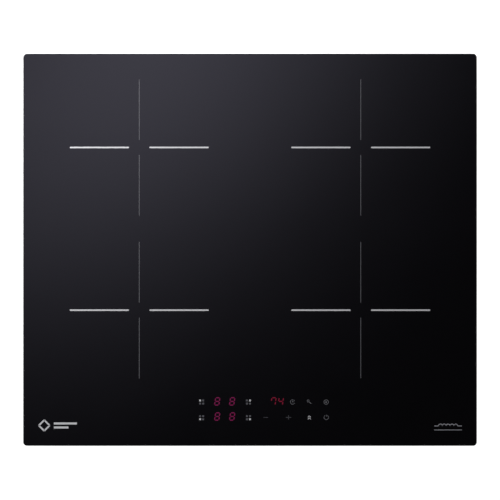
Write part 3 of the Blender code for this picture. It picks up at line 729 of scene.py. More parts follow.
def symbols():
    """Each touch symbol: where it is, its strokes in millimetres, its stroke width, its ink."""
    ring = arc((0, 0), 2.9, 0, 360)
    bar = [(-3, 0), (3, 0)]
    return {
        "timer_key": ((0.0553, PANEL_TOP),
                      [arc((0, 0), 2.9, 25, 335), [(0, 1.7), (0, 0), (1.3, 0)]],
                      0.00050, "grey"),
        "lock_key": ((0.0768, PANEL_TOP),
                     [arc((-1.2, 1.4), 1.35, 0, 360), [(-0.2, 0.4), (2.6, -2.4)],
                     [(1.5, -1.3), (2.2, -0.6)], [(2.3, -2.1), (3.0, -1.4)]], 0.00055, "grey"),
        "hold_key": ((0.0990, PANEL_TOP),
                     [ring, [(0, 1.1), (0.8, 0), (0, -1.1), (-0.8, 0), (0, 1.1)],
                     [(0, 0.6), (0, -0.6)]], 0.00055, "grey"),
        "minus_key": ((0.0205, PANEL_BOTTOM), [bar], 0.00045, "dim"),
        "plus_key": ((0.0501, PANEL_BOTTOM), [[(-3.4, 0), (3.4, 0)], [(0, -2.6), (0, 2.6)]],
                     0.00055, "dim"),
        "boost_key": ((0.0771, PANEL_BOTTOM), [[(-1.9, -2.4), (0, -0.6), (1.9, -2.4)],
                      [(-1.9, 0.2), (0, 2.0), (1.9, 0.2)]], 0.00100, "white"),
        "power_key": ((0.0992, PANEL_BOTTOM), [arc((0, 0), 2.9, 120, 420), [(0, 1.0), (0, 3.5)]],
                      0.00050, "grey"),
    }


class HOB_OT_glass_pane(Operator):
    """Model the glass pane with its rounded corners and ground edge"""

    bl_idname = "hob.glass_pane"
    bl_label = "Glass pane"

    def execute(self, context):
        settings = context.scene.hob_glass
        pane = add_box("glass_pane", GLASS_LOW, GLASS_HIGH)
        bevel(pane, upright, settings.corner, 12)
        rims = (edge_at(GLASS_HIGH.z), edge_at(GLASS_LOW.z))
        bevel(pane, lambda edge: rims[0](edge) or rims[1](edge), settings.arris, 3)
        finish(pane, "hob", black_glass(settings), "black_glass", ["glass_top"], angle=20)
        return {"FINISHED"}


class HOB_OT_zone_crosses(Operator):
    """Print the bars and the fine lines that mark the four cooking zones"""

    bl_idname = "hob.zone_crosses"
    bl_label = "Zone crosses"

    def execute(self, context):
        ink = context.scene.hob_print
        bars, hairlines = [], []
        for zone in ZONES:
            low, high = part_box(f"{zone}_mica_sheet")
            x, y = ((low + high) / 2).xy
            for side in (-1, 1):
                start = (x + side * ink.inner, y)
                end = (x + side * ink.outer, y)
                bar = stroke(start, end, ink.bar, ink.ink_height)
                bars.append(bevel(bar, upright, ink.bar * 0.45, 4))
                start = (x, y + side * ink.hairline_inner)
                end = (x, y + side * ink.hairline_outer)
                hairlines.append(stroke(start, end, ink.hairline, ink.ink_height))
        white = enamel("white_ink", ink.white)
        grey = enamel("hairline_ink", ink.grey)
        finish(joined("zone_bars", bars), "hob", white, "black_glass")
        finish(joined("zone_hairlines", hairlines), "hob", grey, "black_glass")
        return {"FINISHED"}


class HOB_OT_touch_keys(Operator):
    """Print the zone selectors and the touch symbols of the panel"""

    bl_idname = "hob.touch_keys"
    bl_label = "Touch keys"

    def execute(self, context):
        ink = context.scene.hob_print
        inks = {
            "white": enamel("key_white_ink", tuple(0.95 * c for c in ink.white)),
            "grey": enamel("key_grey_ink", tuple(1.25 * c for c in ink.grey)),
            "dim": enamel("key_dim_ink", ink.dim),
        }
        for name, (place, lines, width, shade) in symbols().items():
            key = joined(name, drawn(scaled(lines), place, width, ink.ink_height))
            finish(key, "hob", inks[shade], "black_glass")
        square, pitch = 0.0024, 0.0040
        bright, unlit = [], []
        for column, x in ((-1, -0.0629), (1, -0.0020)):
            for row, y in ((1, PANEL_TOP), (-1, PANEL_BOTTOM - 0.0004)):
                for i in (-1, 1):
                    for j in (-1, 1):
                        spot = (x + i * pitch / 2, y + j * pitch / 2)
                        ends = [(spot[0] + end * square / 2, spot[1]) for end in (-1, 1)]
                        piece = stroke(*ends, square, ink.ink_height)
                        piece = bevel(piece, upright, square * 0.12, 2)
                        (bright if (i, j) == (column, row) else unlit).append(piece)
        finish(joined("zone_selectors_bright", bright), "hob", inks["white"], "black_glass")
        finish(joined("zone_selectors_dim", unlit), "hob", inks["dim"], "black_glass")
        return {"FINISHED"}


class HOB_OT_digits(Operator):
    """Light the level digits of the zones and the timer digits below the glass"""

    bl_idname = "hob.digits"
    bl_label = "Lit digits"

    SEGMENTS = {"7": "abcf", "4": "bcfg", "8": "abcdefg"}

    def digit(self, figure, place, settings):
        """Seven-segment strokes with pointed ends, leaning to the right."""
        w, h = settings.width / 2, settings.height / 2
        gap = settings.stroke * 0.42
        level = {"a": h, "g": 0, "d": -h}
        pieces = []
        for segment in self.SEGMENTS[figure]:
            if segment in level:
                y = level[segment]
                ends = (-w + gap, y), (w - gap, y)
            else:
                x = w if segment in "bc" else -w
                top = h if segment in "bf" else 0
                ends = (x, top - gap), (x, top - h + gap)
            bar = stroke(*ends, settings.stroke, settings.ink)
            pieces.append(bevel(bar, upright, settings.stroke * 0.42, 1))
        lean = Matrix.Identity(4)
        lean[0][1] = math.tan(settings.slant)
        return [moved(piece, shift(*place) @ lean) for piece in pieces]

    def execute(self, context):
        settings = context.scene.hob_display
        zone_digits = []
        for x in (-0.0426, -0.0232):
            for y in (PANEL_TOP + 0.0008, PANEL_BOTTOM + 0.0012):
                zone_digits += self.digit("8", (x, y), settings)
        timer_digits = []
        for x, figure in ((0.0305, "7"), (0.0400, "4")):
            timer_digits += self.digit(figure, (x, PANEL_TOP + 0.0008), settings)
        red = segment_light("zone_digit_light", settings.zone_light)
        amber = segment_light("timer_digit_light", settings.timer_light)
        finish(joined("zone_digits", zone_digits), "hob", red, "black_glass")
        finish(joined("timer_digits", timer_digits), "hob", amber, "black_glass")
        return {"FINISHED"}


class HOB_OT_corner_marks(Operator):
    """Print a plain diamond mark at the front left and a coil symbol at the front right"""

    bl_idname = "hob.corner_marks"
    bl_label = "Corner marks"

    def execute(self, context):
        ink = context.scene.hob_print
        mark_y = -0.2284
        diamond = [(0, 7), (7, 0), (0, -7), (-7, 0), (0, 7)]
        mark = drawn(scaled([diamond]), (-0.2675, mark_y), 0.0021, ink.ink_height)
        lines = [[(-13, 2.6), (17, 2.6)], [(-13, -2.6), (6, -2.6)]]
        mark += drawn(scaled(lines), (-0.2420, mark_y), 0.0027, ink.ink_height)
        white = enamel("mark_ink", ink.white)
        finish(joined("corner_mark", mark), "hob", white, "black_glass")
        bumps = [point for number in range(5)
                 for point in arc((5 * number - 10, 0), 2.5, 180, 0, 8)]
        coil = [[(-18, 0), *bumps, (18, 0)]]
        symbol = drawn(scaled(coil), (0.2575, -0.2290), 0.00075, ink.ink_height)
        symbol += drawn(scaled([[(-18, 0), (18, 0)]]), (0.2575, -0.2342), 0.00060, ink.ink_height)
        grey = enamel("coil_symbol_ink", tuple(2.9 * c for c in ink.grey))
        finish(joined("coil_symbol", symbol), "hob", grey, "black_glass")
        return {"FINISHED"}


# ------------------------------------------------------------------ shared small pieces
def block(name, low, high, edge=0.0004, segments=2):
    """A box with every edge rounded."""
    return rounded(add_box(name, low, high), edge, segments)


def screw(name, head, rise, shank, length, place, look=(0, 0, 1), pitch=0.0007):
    """A cross-head screw with a rolled thread. `place` is under its head, which faces `look`."""
    profile = [(0, rise), (head * 0.55, rise), (head * 0.86, rise * 0.8), (head, rise * 0.35)]
    profile += [(head, 0), (shank, 0)]
    for ring in range(int(length / pitch) - 1):
        z = -pitch * (ring + 0.5)
        profile += [(shank, z), (shank * 0.84, z - pitch / 2)]
    profile += [(shank * 0.6, -length), (0, -length)]
    piece = add_turned(name, profile, (0, 0), 18)
    arm = head * 0.62
    for angle in (0, 90):
        slot = add_box("recess", (-arm, -head * 0.13, rise * 0.3), (arm, head * 0.13, rise + 0.001))
        cut(piece, moved(slot, turn(math.radians(angle))))
    facing_turn = Vector((0, 0, 1)).rotation_difference(Vector(look)).to_matrix().to_4x4()
    return moved(piece, shift(*place) @ facing_turn)


def everywhere(name, piece, matrices):
    """One piece repeated at several places, as one mesh."""
    copies = [copied(piece, matrix) for matrix in matrices]
    bpy.data.objects.remove(piece)
    return joined(name, copies)


def ends_rounded(cutter, axis, radius, segments=4):
    """Rounds a slot cutter's edges that run along an axis."""
    number = "XYZ".index(axis)

    def along(edge):
        a, b = (vert.co for vert in edge.verts)
        return abs((a - b).normalized()[number]) > 0.99

    return bevel(cutter, along, radius, segments)


# ------------------------------------------------------------------ body of the hob
class HOB_OT_bottom_tray(Operator):
    """Press the galvanised tray: bends, stiffening beads, bosses, air slots and cable openings"""

    bl_idname = "hob.bottom_tray"
    bl_label = "Bottom tray"

    def pan(self, name, size, corner, low, high, bend):
        x, y = size[0] / 2, size[1] / 2
        pan = add_box(name, (-x, -y, low), (x, y, high))
        bevel(pan, upright, corner, 8)
        return bevel(pan, edge_at(low), bend, 4)

    def shell(self, tray):
        sheet, shelf, top = tray.sheet, tray.shelf, tray.rim_top
        tub, rim = (tray.tub_x, tray.tub_y), (tray.rim_x, tray.rim_y)
        piece = self.pan("bottom_tray_sheet", tub, tray.tub_corner, 0, shelf + 0.006, tray.bend)
        outer_rim = self.pan("rim", rim, tray.rim_corner, shelf, top, tray.bend)
        cut(piece, outer_rim, "UNION")
        inner_tub = [side - 2 * sheet for side in tub]
        inner_rim = [side - 2 * sheet for side in rim]
        inner_bend = tray.bend - sheet
        cut(piece,
            self.pan("in", inner_tub, tray.tub_corner - sheet, sheet, shelf + 0.02, inner_bend))
        inner_corner = tray.rim_corner - sheet
        cut(piece, self.pan("in", inner_rim, inner_corner, shelf + sheet, top + 0.01, inner_bend))
        return piece

    def beads(self):
        """Where the floor's stiffening beads run, as lowest and highest X and Y."""
        half = 0.005
        runs = []
        for side in SIDES.values():
            for x in (0.020, 0.085, 0.143, 0.201):
                end = 0.078 if x > 0.05 else 0.120
                runs.append((side * x - half, -0.150, side * x + half, end))
            low, high = sorted((side * 0.040, side * 0.215))
            runs.append((low, -0.205, high, -0.195))
        return runs

    def press_beads(self, piece, tray):
        ridges, grooves = [], []
        rise = 0.0011
        for x0, y0, x1, y1 in self.beads():
            ridge = add_box("ridge", (x0, y0, tray.sheet / 2), (x1, y1, tray.sheet + rise))
            bevel(ridge, upright, 0.0045, 5)
            ridges.append(bevel(ridge, edge_at(tray.sheet + rise), 0.0008, 2))
            inset = 0.0008
            groove = add_box("groove", (x0 + inset, y0 + inset, -0.001),
                             (x1 - inset, y1 - inset, rise))
            bevel(groove, upright, 0.0038, 5)
            grooves.append(bevel(groove, edge_at(rise), 0.0007, 2))
        cut(piece, joined("ridges", ridges), "UNION")
        cut(piece, joined("grooves", grooves))

    def bosses(self, piece, tray):
        low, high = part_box("right_power_board")
        top = low.z - 0.0003
        middle = (tray.sheet / 2 + top) / 2
        height = top - tray.sheet / 2
        posts, dimples = [], []
        for side in SIDES.values():
            for x, y in board_corners(low, high):
                place = (side * x, y, middle)
                posts.append(add_cylinder("boss", place, 0.0044, height, 20, top=0.003))
                place = (side * x, y, middle - tray.sheet - 0.0006)
                dimples.append(add_cylinder("dimple", place, 0.0037, height, 20, top=0.0021))
        cut(piece, joined("bosses", posts), "UNION")
        cut(piece, joined("dimples", dimples))

    def air_slots(self, tray):
        """Cutters of the round grilles under the fans and of the wall vents."""
        width = 0.004
        cutters = []
        for column, side in SIDES.items():
            fan_x, fan_y = fan_axis(column)
            for row in range(-4, 5):
                offset = 0.008 * row
                half = math.sqrt(0.034**2 - offset**2)
                y = fan_y + offset
                low = (fan_x - half, y - width / 2, -0.002)
                high = (fan_x + half, y + width / 2, 0.003)
                cutters.append(ends_rounded(add_box("slot", low, high), "Z", 0.0019))
            for wall, first, count in ((-1, 0.080, 12), (1, 0.090, 8)):
                y = wall * tray.tub_y / 2
                for number in range(count):
                    x = side * (first + 0.010 * number)
                    low, high = (x - width / 2, y - 0.004, 0.009), (x + width / 2, y + 0.004, 0.025)
                    cutters.append(ends_rounded(add_box("vent", low, high), "Y", 0.0019))
        return joined("air_slots", cutters)

    def openings(self, tray):
        """Cutters of the wiring opening, the cable notch and the screw holes."""
        cutters = []
        opening = add_box("opening", (-0.046, 0.177, -0.002), (0.046, 0.2306, 0.003))
        cutters.append(ends_rounded(opening, "Z", 0.0010, 2))
        wall = tray.tub_y / 2
        notch = add_box("notch", (0.022, wall - 0.003, 0.005), (0.038, wall + 0.003, 0.020))
        cutters.append(ends_rounded(notch, "Y", 0.0016, 3))
        for place, look in rim_screws(tray):
            axis = "X" if look[0] else "Y"
            cutters.append(add_cylinder("hole", place, 0.0017, 0.010, 16, axis))
        for zone in ZONES:
            x, y = clamp_axis(zone)
            cutters.append(add_cylinder("hole", (x, y, tray.shelf), 0.0025, 0.006, 20))
        return joined("openings", cutters)

    def execute(self, context):
        tray = context.scene.hob_tray
        piece = self.shell(tray)
        self.press_beads(piece, tray)
        self.bosses(piece, tray)
        cut(piece, self.air_slots(tray))
        cut(piece, self.openings(tray))
        for column in SIDES:
            profile = [(0.0372, -0.001), (0.0398, -0.001), (0.0392, 0.0003), (0.0378, 0.0003)]
            cut(piece, add_turned("ring", profile, fan_axis(column), 48, True))
        steel = spangled("galvanised_sheet", (0.60, 0.62, 0.65), (0.30, 0.315, 0.34))
        finish(piece, "hob", steel, "galvanised_steel", ["bottom_tray"], angle=32)
        return {"FINISHED"}


def board_corners(low, high):
    """Where the four screws of a power board stand."""
    inset = 0.008
    return [(x, y) for x in (low.x + inset, high.x - inset)
            for y in (low.y + inset, high.y - inset)]


def fan_axis(column):
    low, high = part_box(f"{column}_fan_motor")
    return tuple(((low + high) / 2).xy)


def clamp_axis(zone):
    low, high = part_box(f"{zone}_clamp_screw")
    return tuple(((low + high) / 2).xy)


def rim_screws(tray):
    """Where the ten frame screws stand on the tray's rim, and which way they look."""
    height = 0.0475
    places = []
    for side in (-1, 1):
        places += [((x, side * tray.rim_y / 2, height), (0, side, 0)) for x in (-0.18, 0, 0.18)]
        places += [((side * tray.rim_x / 2, y, height), (side, 0, 0)) for y in (-0.11, 0.11)]
    return places


class HOB_OT_seal_and_frame(Operator):
    """Foam seal and bonded frame under the glass, the frame's screws and the clamps' rivet nuts"""

    bl_idname = "hob.seal_and_frame"
    bl_label = "Seal and frame"

    def execute(self, context):
        tray = context.scene.hob_tray
        repaint("worktop_seal", foam())
        repaint("glass_frame", spangled("frame_sheet", (0.58, 0.60, 0.62), (0.34, 0.35, 0.37), 240))
        plated = metal("plated_screws", (0.72, 0.72, 0.70), (0.42, 0.43, 0.45), 900, (1, 1, 0.3),
                       0.22)
        screws = []
        for place, look in rim_screws(tray):
            screws.append(screw("frame_screw", 0.0034, 0.0013, 0.00145, 0.0055, place, look))
        finish(joined("frame_screws", screws), "hob", plated, "zinc_screw")
        nuts = []
        base = tray.shelf + tray.sheet
        profile = [(0.0028, base - 0.0004), (0.0046, base - 0.0004), (0.0046, base + 0.0022),
                   (0.0042, base + 0.0026), (0.0033, base + 0.0026), (0.0028, base + 0.0021)]
        for zone in ZONES:
            nuts.append(add_turned("rivet_nut", profile, clamp_axis(zone), 24, True))
        finish(joined("clamp_rivet_nuts", nuts), "hob", plated, "zinc_screw")
        return {"FINISHED"}


class HOB_OT_worktop_clamps(Operator):
    """Long clamp screws and the swinging brackets that grip the worktop"""

    bl_idname = "hob.worktop_clamps"
    bl_label = "Worktop clamps"

    def bracket(self, low, high):
        """The strap of one bracket along +X from its screw's axis, with its tooth turned up."""
        half, strap = 0.008, 0.002
        reach, tail = 0.034, 0.008
        rise = high.z - low.z
        outline = [(-tail, 0), (reach - 0.0022, 0), (reach - 0.0007, 0.0007), (reach, 0.0022),
                   (reach, rise), (reach - strap, rise), (reach - strap, 0.0028),
                   (reach - 0.0028, strap), (-tail, strap)]
        points = [(x, -half, low.z + z) for x, z in outline]
        piece = add_prism("bracket", points, (0, 2 * half, 0))
        bevel(piece, lambda edge: upright(edge) and edge.verts[0].co.x < -tail + 1e-4, 0.0045, 5)
        ends = (0.008, -0.0026, low.z + 0.001), (0.027, 0.0026, low.z + 0.0031)
        rib = block("rib", *ends, 0.0009, 2)
        cut(piece, rib, "UNION")
        cut(piece,
            block("groove", (0.0088, -0.0018, low.z - 0.001), (0.0262, 0.0018, low.z + 0.0011)))
        for y in (-0.0055, -0.00183, 0.00183, 0.0055):
            notch = add_box("notch", (reach - 0.003, y - 0.0007, high.z - 0.0009),
                            (reach + 1, y + 0.0007, 1))
            cut(piece, notch)
        cut(piece, add_cylinder("hole", (0, 0, low.z), 0.0023, 0.02, 24))
        return rounded(piece, 0.00018, 1, 50)

    def execute(self, context):
        plated = metal("clamp_screw_plating", (0.74, 0.70, 0.58), (0.46, 0.43, 0.36), 700,
                       (1, 1, 0.2), 0.22)
        steel = spangled("clamp_bracket_steel", (0.60, 0.61, 0.63), (0.36, 0.37, 0.39), 320)
        for zone in ZONES:
            x, y = clamp_axis(zone)
            low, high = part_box(f"{zone}_clamp_screw")
            head_top = low.z + 0.003
            piece = screw("clamp_screw", 0.0042, 0.003, 0.002, high.z - head_top,
                          (x, y, head_top), (0, 0, -1), 0.0008)
            stand_in(f"{zone}_clamp_screw", [piece], f"{zone}_clamp_screw", plated, "zinc_screw")
            name = f"{zone}_clamp_bracket"
            strap = self.bracket(*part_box(name))
            quarter = math.copysign(math.pi / 2, -y)
            moved(strap, shift(x, y) @ turn(quarter))
            stand_in(name, [strap], name, steel, "galvanised_steel")
        return {"FINISHED"}


class HOB_OT_terminal(Operator):
    """Mains terminal: wiring box, terminal block with its screws and links, cable clamp"""

    bl_idname = "hob.terminal"
    bl_label = "Mains terminal"

    POLES = 5
    PITCH = 0.010
    CLAMP_Y = 0.222

    def box(self):
        low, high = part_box("terminal_box")
        shell = block("terminal_box_moulding", (-0.048, 0.175, low.z), (0.048, 0.2326, high.z),
                      0.0008)
        flange = add_box("flange", (-0.056, 0.168, low.z), (0.056, 0.2316, low.z + 0.0015))
        cut(shell, bevel(flange, upright, 0.004, 4), "UNION")
        ribs = []
        for x in (-0.036, -0.018, 0.0, 0.018, 0.036):
            ribs.append(add_box("rib", (x - 0.0006, 0.1715, low.z + 0.001),
                                (x + 0.0006, 0.177, 0.024)))
        for side in (-1, 1):
            for y in (0.190, 0.205, 0.220):
                ends = sorted((side * 0.0470, side * 0.0515))
                ribs.append(add_box("rib", (ends[0], y - 0.0006, low.z + 0.001),
                                    (ends[1], y + 0.0006, 0.022)))
        cut(shell, joined("ribs", ribs), "UNION")
        cut(shell,
            block("chamber", (-0.046, 0.177, -0.01), (0.046, 0.2306, high.z - 0.002), 0.0006))
        clamp_low, clamp_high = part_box("cable_clamp")
        x, z, radius = self.cable(clamp_low, clamp_high)
        top, bottom = high.z - 0.001, clamp_high.z + 0.0003
        saddle = []
        for side in (-1, 1):
            post = x + side * 0.0115
            saddle.append(add_box("post", (post - 0.003, 0.218, bottom),
                                  (post + 0.003, 0.226, top)))
        saddle.append(add_box("web", (x - 0.010, 0.219, z + radius + 0.0035),
                              (x + 0.010, 0.225, top)))
        for y in (0.2195, 0.2225, 0.2250):
            saddle.append(add_box("tooth", (x - 0.006, y - 0.0007, z + radius + 0.0003),
                                  (x + 0.006, y + 0.0007, top)))
        for part in saddle:
            cut(shell, part, "UNION")
        entry = add_box("entry", (x - 0.007, 0.2296, 0.0058), (x + 0.007, 0.2366, 0.0188))
        cutters = [ends_rounded(entry, "Y", 0.0030, 4)]
        for side in (-1, 1):
            cutters.append(add_cylinder("bearing", (side * 0.047, *HINGE), 0.0014, 0.006, 20, "X"))
        cut(shell, joined("cutters", cutters))
        return shell

    @staticmethod
    def cable(low, high):
        """X, Z and radius of the space for the mains cable, over its clamp bar."""
        return (low.x + high.x) / 2, high.z + 0.0058, 0.0055

    def poles(self):
        low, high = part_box("terminal_block")
        middle = (low.x + high.x) / 2
        return [middle + (number - (self.POLES - 1) / 2) * self.PITCH
                for number in range(self.POLES)]

    def terminal_block(self):
        low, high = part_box("terminal_block")
        y = (low.y + high.y) / 2
        body = block("terminal_block_moulding", low, high, 0.0005)
        cells, ports = [], []
        for x in self.poles():
            cell = add_box("cell", (x - 0.004, y - 0.006, low.z - 0.001),
                           (x + 0.004, y + 0.006, low.z + 0.006))
            cells.append(ends_rounded(cell, "Z", 0.0008, 2))
            ports.append(add_cylinder("port", (x, low.y, low.z + 0.0085), 0.0022, 0.006, 16, "Y"))
            ports.append(add_cylinder("port", (x, high.y, low.z + 0.0085), 0.0022, 0.006, 16, "Y"))
        for x in self.poles()[:-1]:
            barrier = x + self.PITCH / 2
            ports.append(add_box("slot", (barrier - 0.0003, low.y - 1, low.z - 1),
                                 (barrier + 0.0003, low.y + 0.0008, low.z + 0.012)))
        cut(body, joined("cells", cells))
        cut(body, joined("ports", ports))
        return body

    def brass(self):
        """The clamping tongues of the poles, and the links that join poles in pairs."""
        low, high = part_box("terminal_block")
        y, z = (low.y + high.y) / 2, low.z
        pieces = []
        for x in self.poles():
            pieces.append(block("cage", (x - 0.0036, y - 0.0056, z + 0.0025),
                                (x + 0.0036, y + 0.0056, z + 0.0060)))
        for first in (0, 3):
            x = self.poles()[first]
            pieces.append(block("link", (x - 0.0015, y + 0.0020, z + 0.0006),
                                (x + self.PITCH + 0.0015, y + 0.0046, z + 0.0026), 0.0003))
        return joined("terminal_brass", pieces)

    def screws(self):
        low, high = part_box("terminal_block")
        y, z = (low.y + high.y) / 2 - 0.001, low.z + 0.0026
        down = (0, 0, -1)
        pieces = [screw("pole", 0.0027, 0.0016, 0.0013, 0.004, (x, y, z), down)
                  for x in self.poles()]
        clamp_low, clamp_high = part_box("cable_clamp")
        for x in (clamp_low.x + 0.003, clamp_high.x - 0.003):
            place = (x, self.CLAMP_Y, clamp_low.z + 0.0011)
            pieces.append(screw("clamp", 0.0026, 0.0013, 0.0013, 0.010, place, down))
        return joined("terminal_screws", pieces)

    def cable_clamp(self):
        low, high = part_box("cable_clamp")
        x, z, radius = self.cable(low, high)
        bar = block("cable_clamp_bar", low, high, 0.0005)
        groove = add_cylinder("channel", (x, self.CLAMP_Y, z), radius + 0.001, 0.02, 32, "Y")
        cut(bar, groove)
        for end in (low.x + 0.003, high.x - 0.003):
            cut(bar, add_cylinder("sink", (end, self.CLAMP_Y, low.z), 0.0030, 0.0024, 20))
        return bar

    def execute(self, context):
        white = moulded("terminal_white", (0.50, 0.495, 0.47), (0.40, 0.395, 0.37))
        black = moulded("terminal_black", (0.030, 0.030, 0.032), (0.014, 0.014, 0.015))
        brass = metal("terminal_brass", (0.80, 0.58, 0.25), (0.55, 0.36, 0.13), 900, (0.1, 1, 1))
        plated = plated_steel("terminal_screws")
        finish(self.box(), "hob", white, "white_plastic", ["terminal_box"])
        finish(self.terminal_block(), "hob", black, "black_plastic", ["terminal_block"])
        finish(self.brass(), "hob", brass, "zinc_screw")
        finish(self.screws(), "hob", plated, "zinc_screw")
        finish(self.cable_clamp(), "hob", black, "black_plastic", ["cable_clamp"])
        return {"FINISHED"}


class HOB_OT_terminal_lid(Operator):
    """Hinged lid of the mains terminal, with its snap tongue, ribs and hinge pins"""

    bl_idname = "hob.terminal_lid"
    bl_label = "Terminal lid"

    def execute(self, context):
        low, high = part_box("terminal_lid")
        panel_top = 0.0020
        edge = low.x + 0.0018
        lid = block("terminal_lid_moulding", (edge, low.y, low.z), (-edge, high.y, panel_top),
                    0.0003)
        lugs = []
        for side in (-1, 1):
            ends = sorted((side * 0.0400, side * 0.0436))
            back, top = HINGE[0] + 0.0014, HINGE[1] + 0.0013
            lugs.append(block("lug", (ends[0], low.y, panel_top - 0.0008), (ends[1], back, top)))
            lugs.append(add_cylinder("pin", (side * 0.0450, *HINGE), 0.0010, 0.0046, 20, "X"))
        lugs.append(block("tongue", (-0.008, high.y - 0.0015, panel_top - 0.0005),
                          (0.008, high.y, high.z), 0.0004))
        for x in (-0.036, -0.024, -0.012, 0.000, 0.010):
            lugs.append(add_box("rib", (x - 0.0005, 0.186, panel_top - 0.0005),
                                (x + 0.0005, 0.224, 0.0030)))
        for y in (0.190, 0.2215):
            lugs.append(add_box("rib", (-0.040, y - 0.0005, panel_top - 0.0005),
                                (0.012, y + 0.0005, 0.0030)))
        for piece in lugs:
            cut(lid, piece, "UNION")
        field = block("field", (-0.038, 0.188, low.z - 0.001), (0.038, 0.2125, low.z + 0.0006),
                      0.0003)
        cut(lid, field)
        grips = []
        for number in range(5):
            y = 0.2175 + 0.0018 * number
            grips.append(add_box("grip", (-0.010, y - 0.0004, low.z - 0.001),
                                 (0.010, y + 0.0004, low.z + 0.0008)))
        for side in (-1, 1):
            for number in range(9):
                x = side * (0.018 + 0.0022 * number)
                grips.append(add_box("louvre", (x - 0.0005, 0.2165, low.z - 0.001),
                                     (x + 0.0005, 0.2265, low.z + 0.0007)))
        cut(lid, joined("grips", grips))
        white = moulded("lid_white", (0.46, 0.455, 0.43), (0.36, 0.355, 0.335))
        finish(lid, "terminal_lid", white, "white_plastic", ["terminal_lid"])
        return {"FINISHED"}


# ------------------------------------------------------------------ coils
class HOB_OT_coils(Operator):
    """Wind the four coils: litz spiral, ferrite bars, carrier disc, mica sheet and heat sensor"""

    bl_idname = "hob.coils"
    bl_label = "Induction coils"

    TURNS = 15

    def winding(self, low, high, middle):
        """A flat spiral of one thick rope, from the inner end to the outer."""
        wire = (high.z - low.z) / 2
        inner = 0.024 + wire
        outer = (high.x - low.x) / 2 - wire
        steps = 46
        points = []
        for step in range(self.TURNS * steps + 1):
            share = step / (self.TURNS * steps)
            angle = 2 * math.pi * step / steps
            radius = inner + (outer - inner) * share
            points.append((middle[0] + radius * math.cos(angle),
                           middle[1] + radius * math.sin(angle),
                           (low.z + high.z) / 2))
        return add_wire("winding", points, wire, 8)

    def ferrites(self, low, high, middle):
        bars = []
        for start, end in ((0.026, 0.0445), (0.0449, 0.0642), (0.0646, 0.084)):
            bars.append(block("ferrite", (start, -0.007, low.z), (end, 0.007, high.z), 0.0007))
        bar = joined("ferrite_bar", bars)
        places = [shift(*middle) @ turn(2 * math.pi * number / 8) for number in range(8)]
        return everywhere("ferrites", bar, places)

    def carrier(self, low, high, middle):
        radius = (high.x - low.x) / 2
        soft = 0.0003
        bore = 0.003
        profile = [(bore, low.z), (radius - soft, low.z), (radius, low.z + soft)]
        profile += [(radius, high.z - soft), (radius - soft, high.z), (bore, high.z)]
        disc = add_turned("carrier", profile, (0, 0), 72, True)
        slots = []
        for number in range(8):
            slot = add_box("slot", (0.040, -0.003, low.z - 1), (0.078, 0.003, high.z + 1))
            ends_rounded(slot, "Z", 0.0029)
            slots.append(moved(slot, turn(2 * math.pi * (number + 0.5) / 8)))
        cut(disc, joined("slots", slots))
        return moved(disc, shift(*middle))

    def mica(self, low, high, middle):
        radius = (high.x - low.x) / 2
        bore = 0.009
        profile = [(bore, low.z), (radius, low.z), (radius, high.z), (bore, high.z)]
        return add_turned("mica", profile, middle, 72, True)

    def sensor(self, low, high, middle):
        radius, cap = (high.x - low.x) / 2, high.z
        profile = [(0, cap), (radius - 0.0010, cap), (radius - 0.0003, cap - 0.0003),
                   (radius, cap - 0.0010), (radius, cap - 0.0048), (radius - 0.0004, cap - 0.0053),
                   (0.0052, cap - 0.0056), (0.0050, cap - 0.0062), (0.0050, low.z + 0.0004),
                   (0.0046, low.z), (0, low.z)]
        return add_turned("sensor", profile, middle, 36)

    def leads(self, zone, middle, board_top):
        """Two sleeved coil leads and two thin sensor leads. They go through the deck to plugs in
        the board's sockets, where they have room to sink with the coil."""
        side = SIDES[zone.split("_")[1]]
        back, thin_back = (-0.055, -0.074) if zone.startswith("rear") else (0.0, 0.0185)
        sleeves, thin = [], []
        low = board_top + 0.0072
        thin_before = thin_back - math.copysign(0.004, thin_back)
        for v, bend in ((0.0045, 0.0022), (-0.0045, -0.0022)):
            run = [(0.083, v, 0.0509), (0.0905, v, 0.0507), (0.0965, v, 0.0470),
                   (0.1025, bend, 0.0420), (0.1042, bend, 0.0360), (0.1042, bend, 0.0310),
                   (0.1030, bend + back * 0.4, 0.0245), (0.0980, bend + back * 0.85, 0.0220),
                   (0.0905, bend + back, 0.0212), (0.0885, bend + back, low + 0.003)]
            points = [(middle[0] - side * u, middle[1] + w, z) for u, w, z in run]
            sleeves.append(add_wire("lead", smooth_run(points, 4), 0.0016, 8))
        for v in (-0.0008, 0.0008):
            run = [(0.004, 0.0, 0.0455), (0.020, 0.0085 + v, 0.0467), (0.055, 0.0228 + v, 0.0467),
                   (0.082, 0.034 + v, 0.0467), (0.0940, 0.028, 0.0450),
                   (0.1015, 0.0045 + v, 0.0415), (0.1062, 0.0045 + v, 0.0375),
                   (0.1062, 0.0045 + v, 0.0300), (0.1040, 0.006 + thin_back * 0.5, 0.0240),
                   (0.0890, thin_before + v, 0.0213), (0.0872, thin_back + v, 0.0200),
                   (0.0870, thin_back + v, low + 0.003)]
            points = [(middle[0] - side * u, middle[1] + w, z) for u, w, z in run]
            thin.append(add_wire("sensor_lead", smooth_run(points, 4), 0.0006, 8))
        plugs = []
        for u, v, width, depth in ((0.0885, back, 0.0050, 0.0100),
                                   (0.0870, thin_back, 0.0022, 0.0052)):
            x, y = middle[0] - side * u, middle[1] + v
            corners = ((x - width / 2, y - depth / 2, low),
                       (x + width / 2, y + depth / 2, low + 0.0060))
            plugs.append(block("plug", *corners, 0.0004))
        made = {"coil_leads": sleeves, "sensor_leads": thin, "coil_plugs": plugs}
        return [joined(name, pieces) for name, pieces in made.items()]

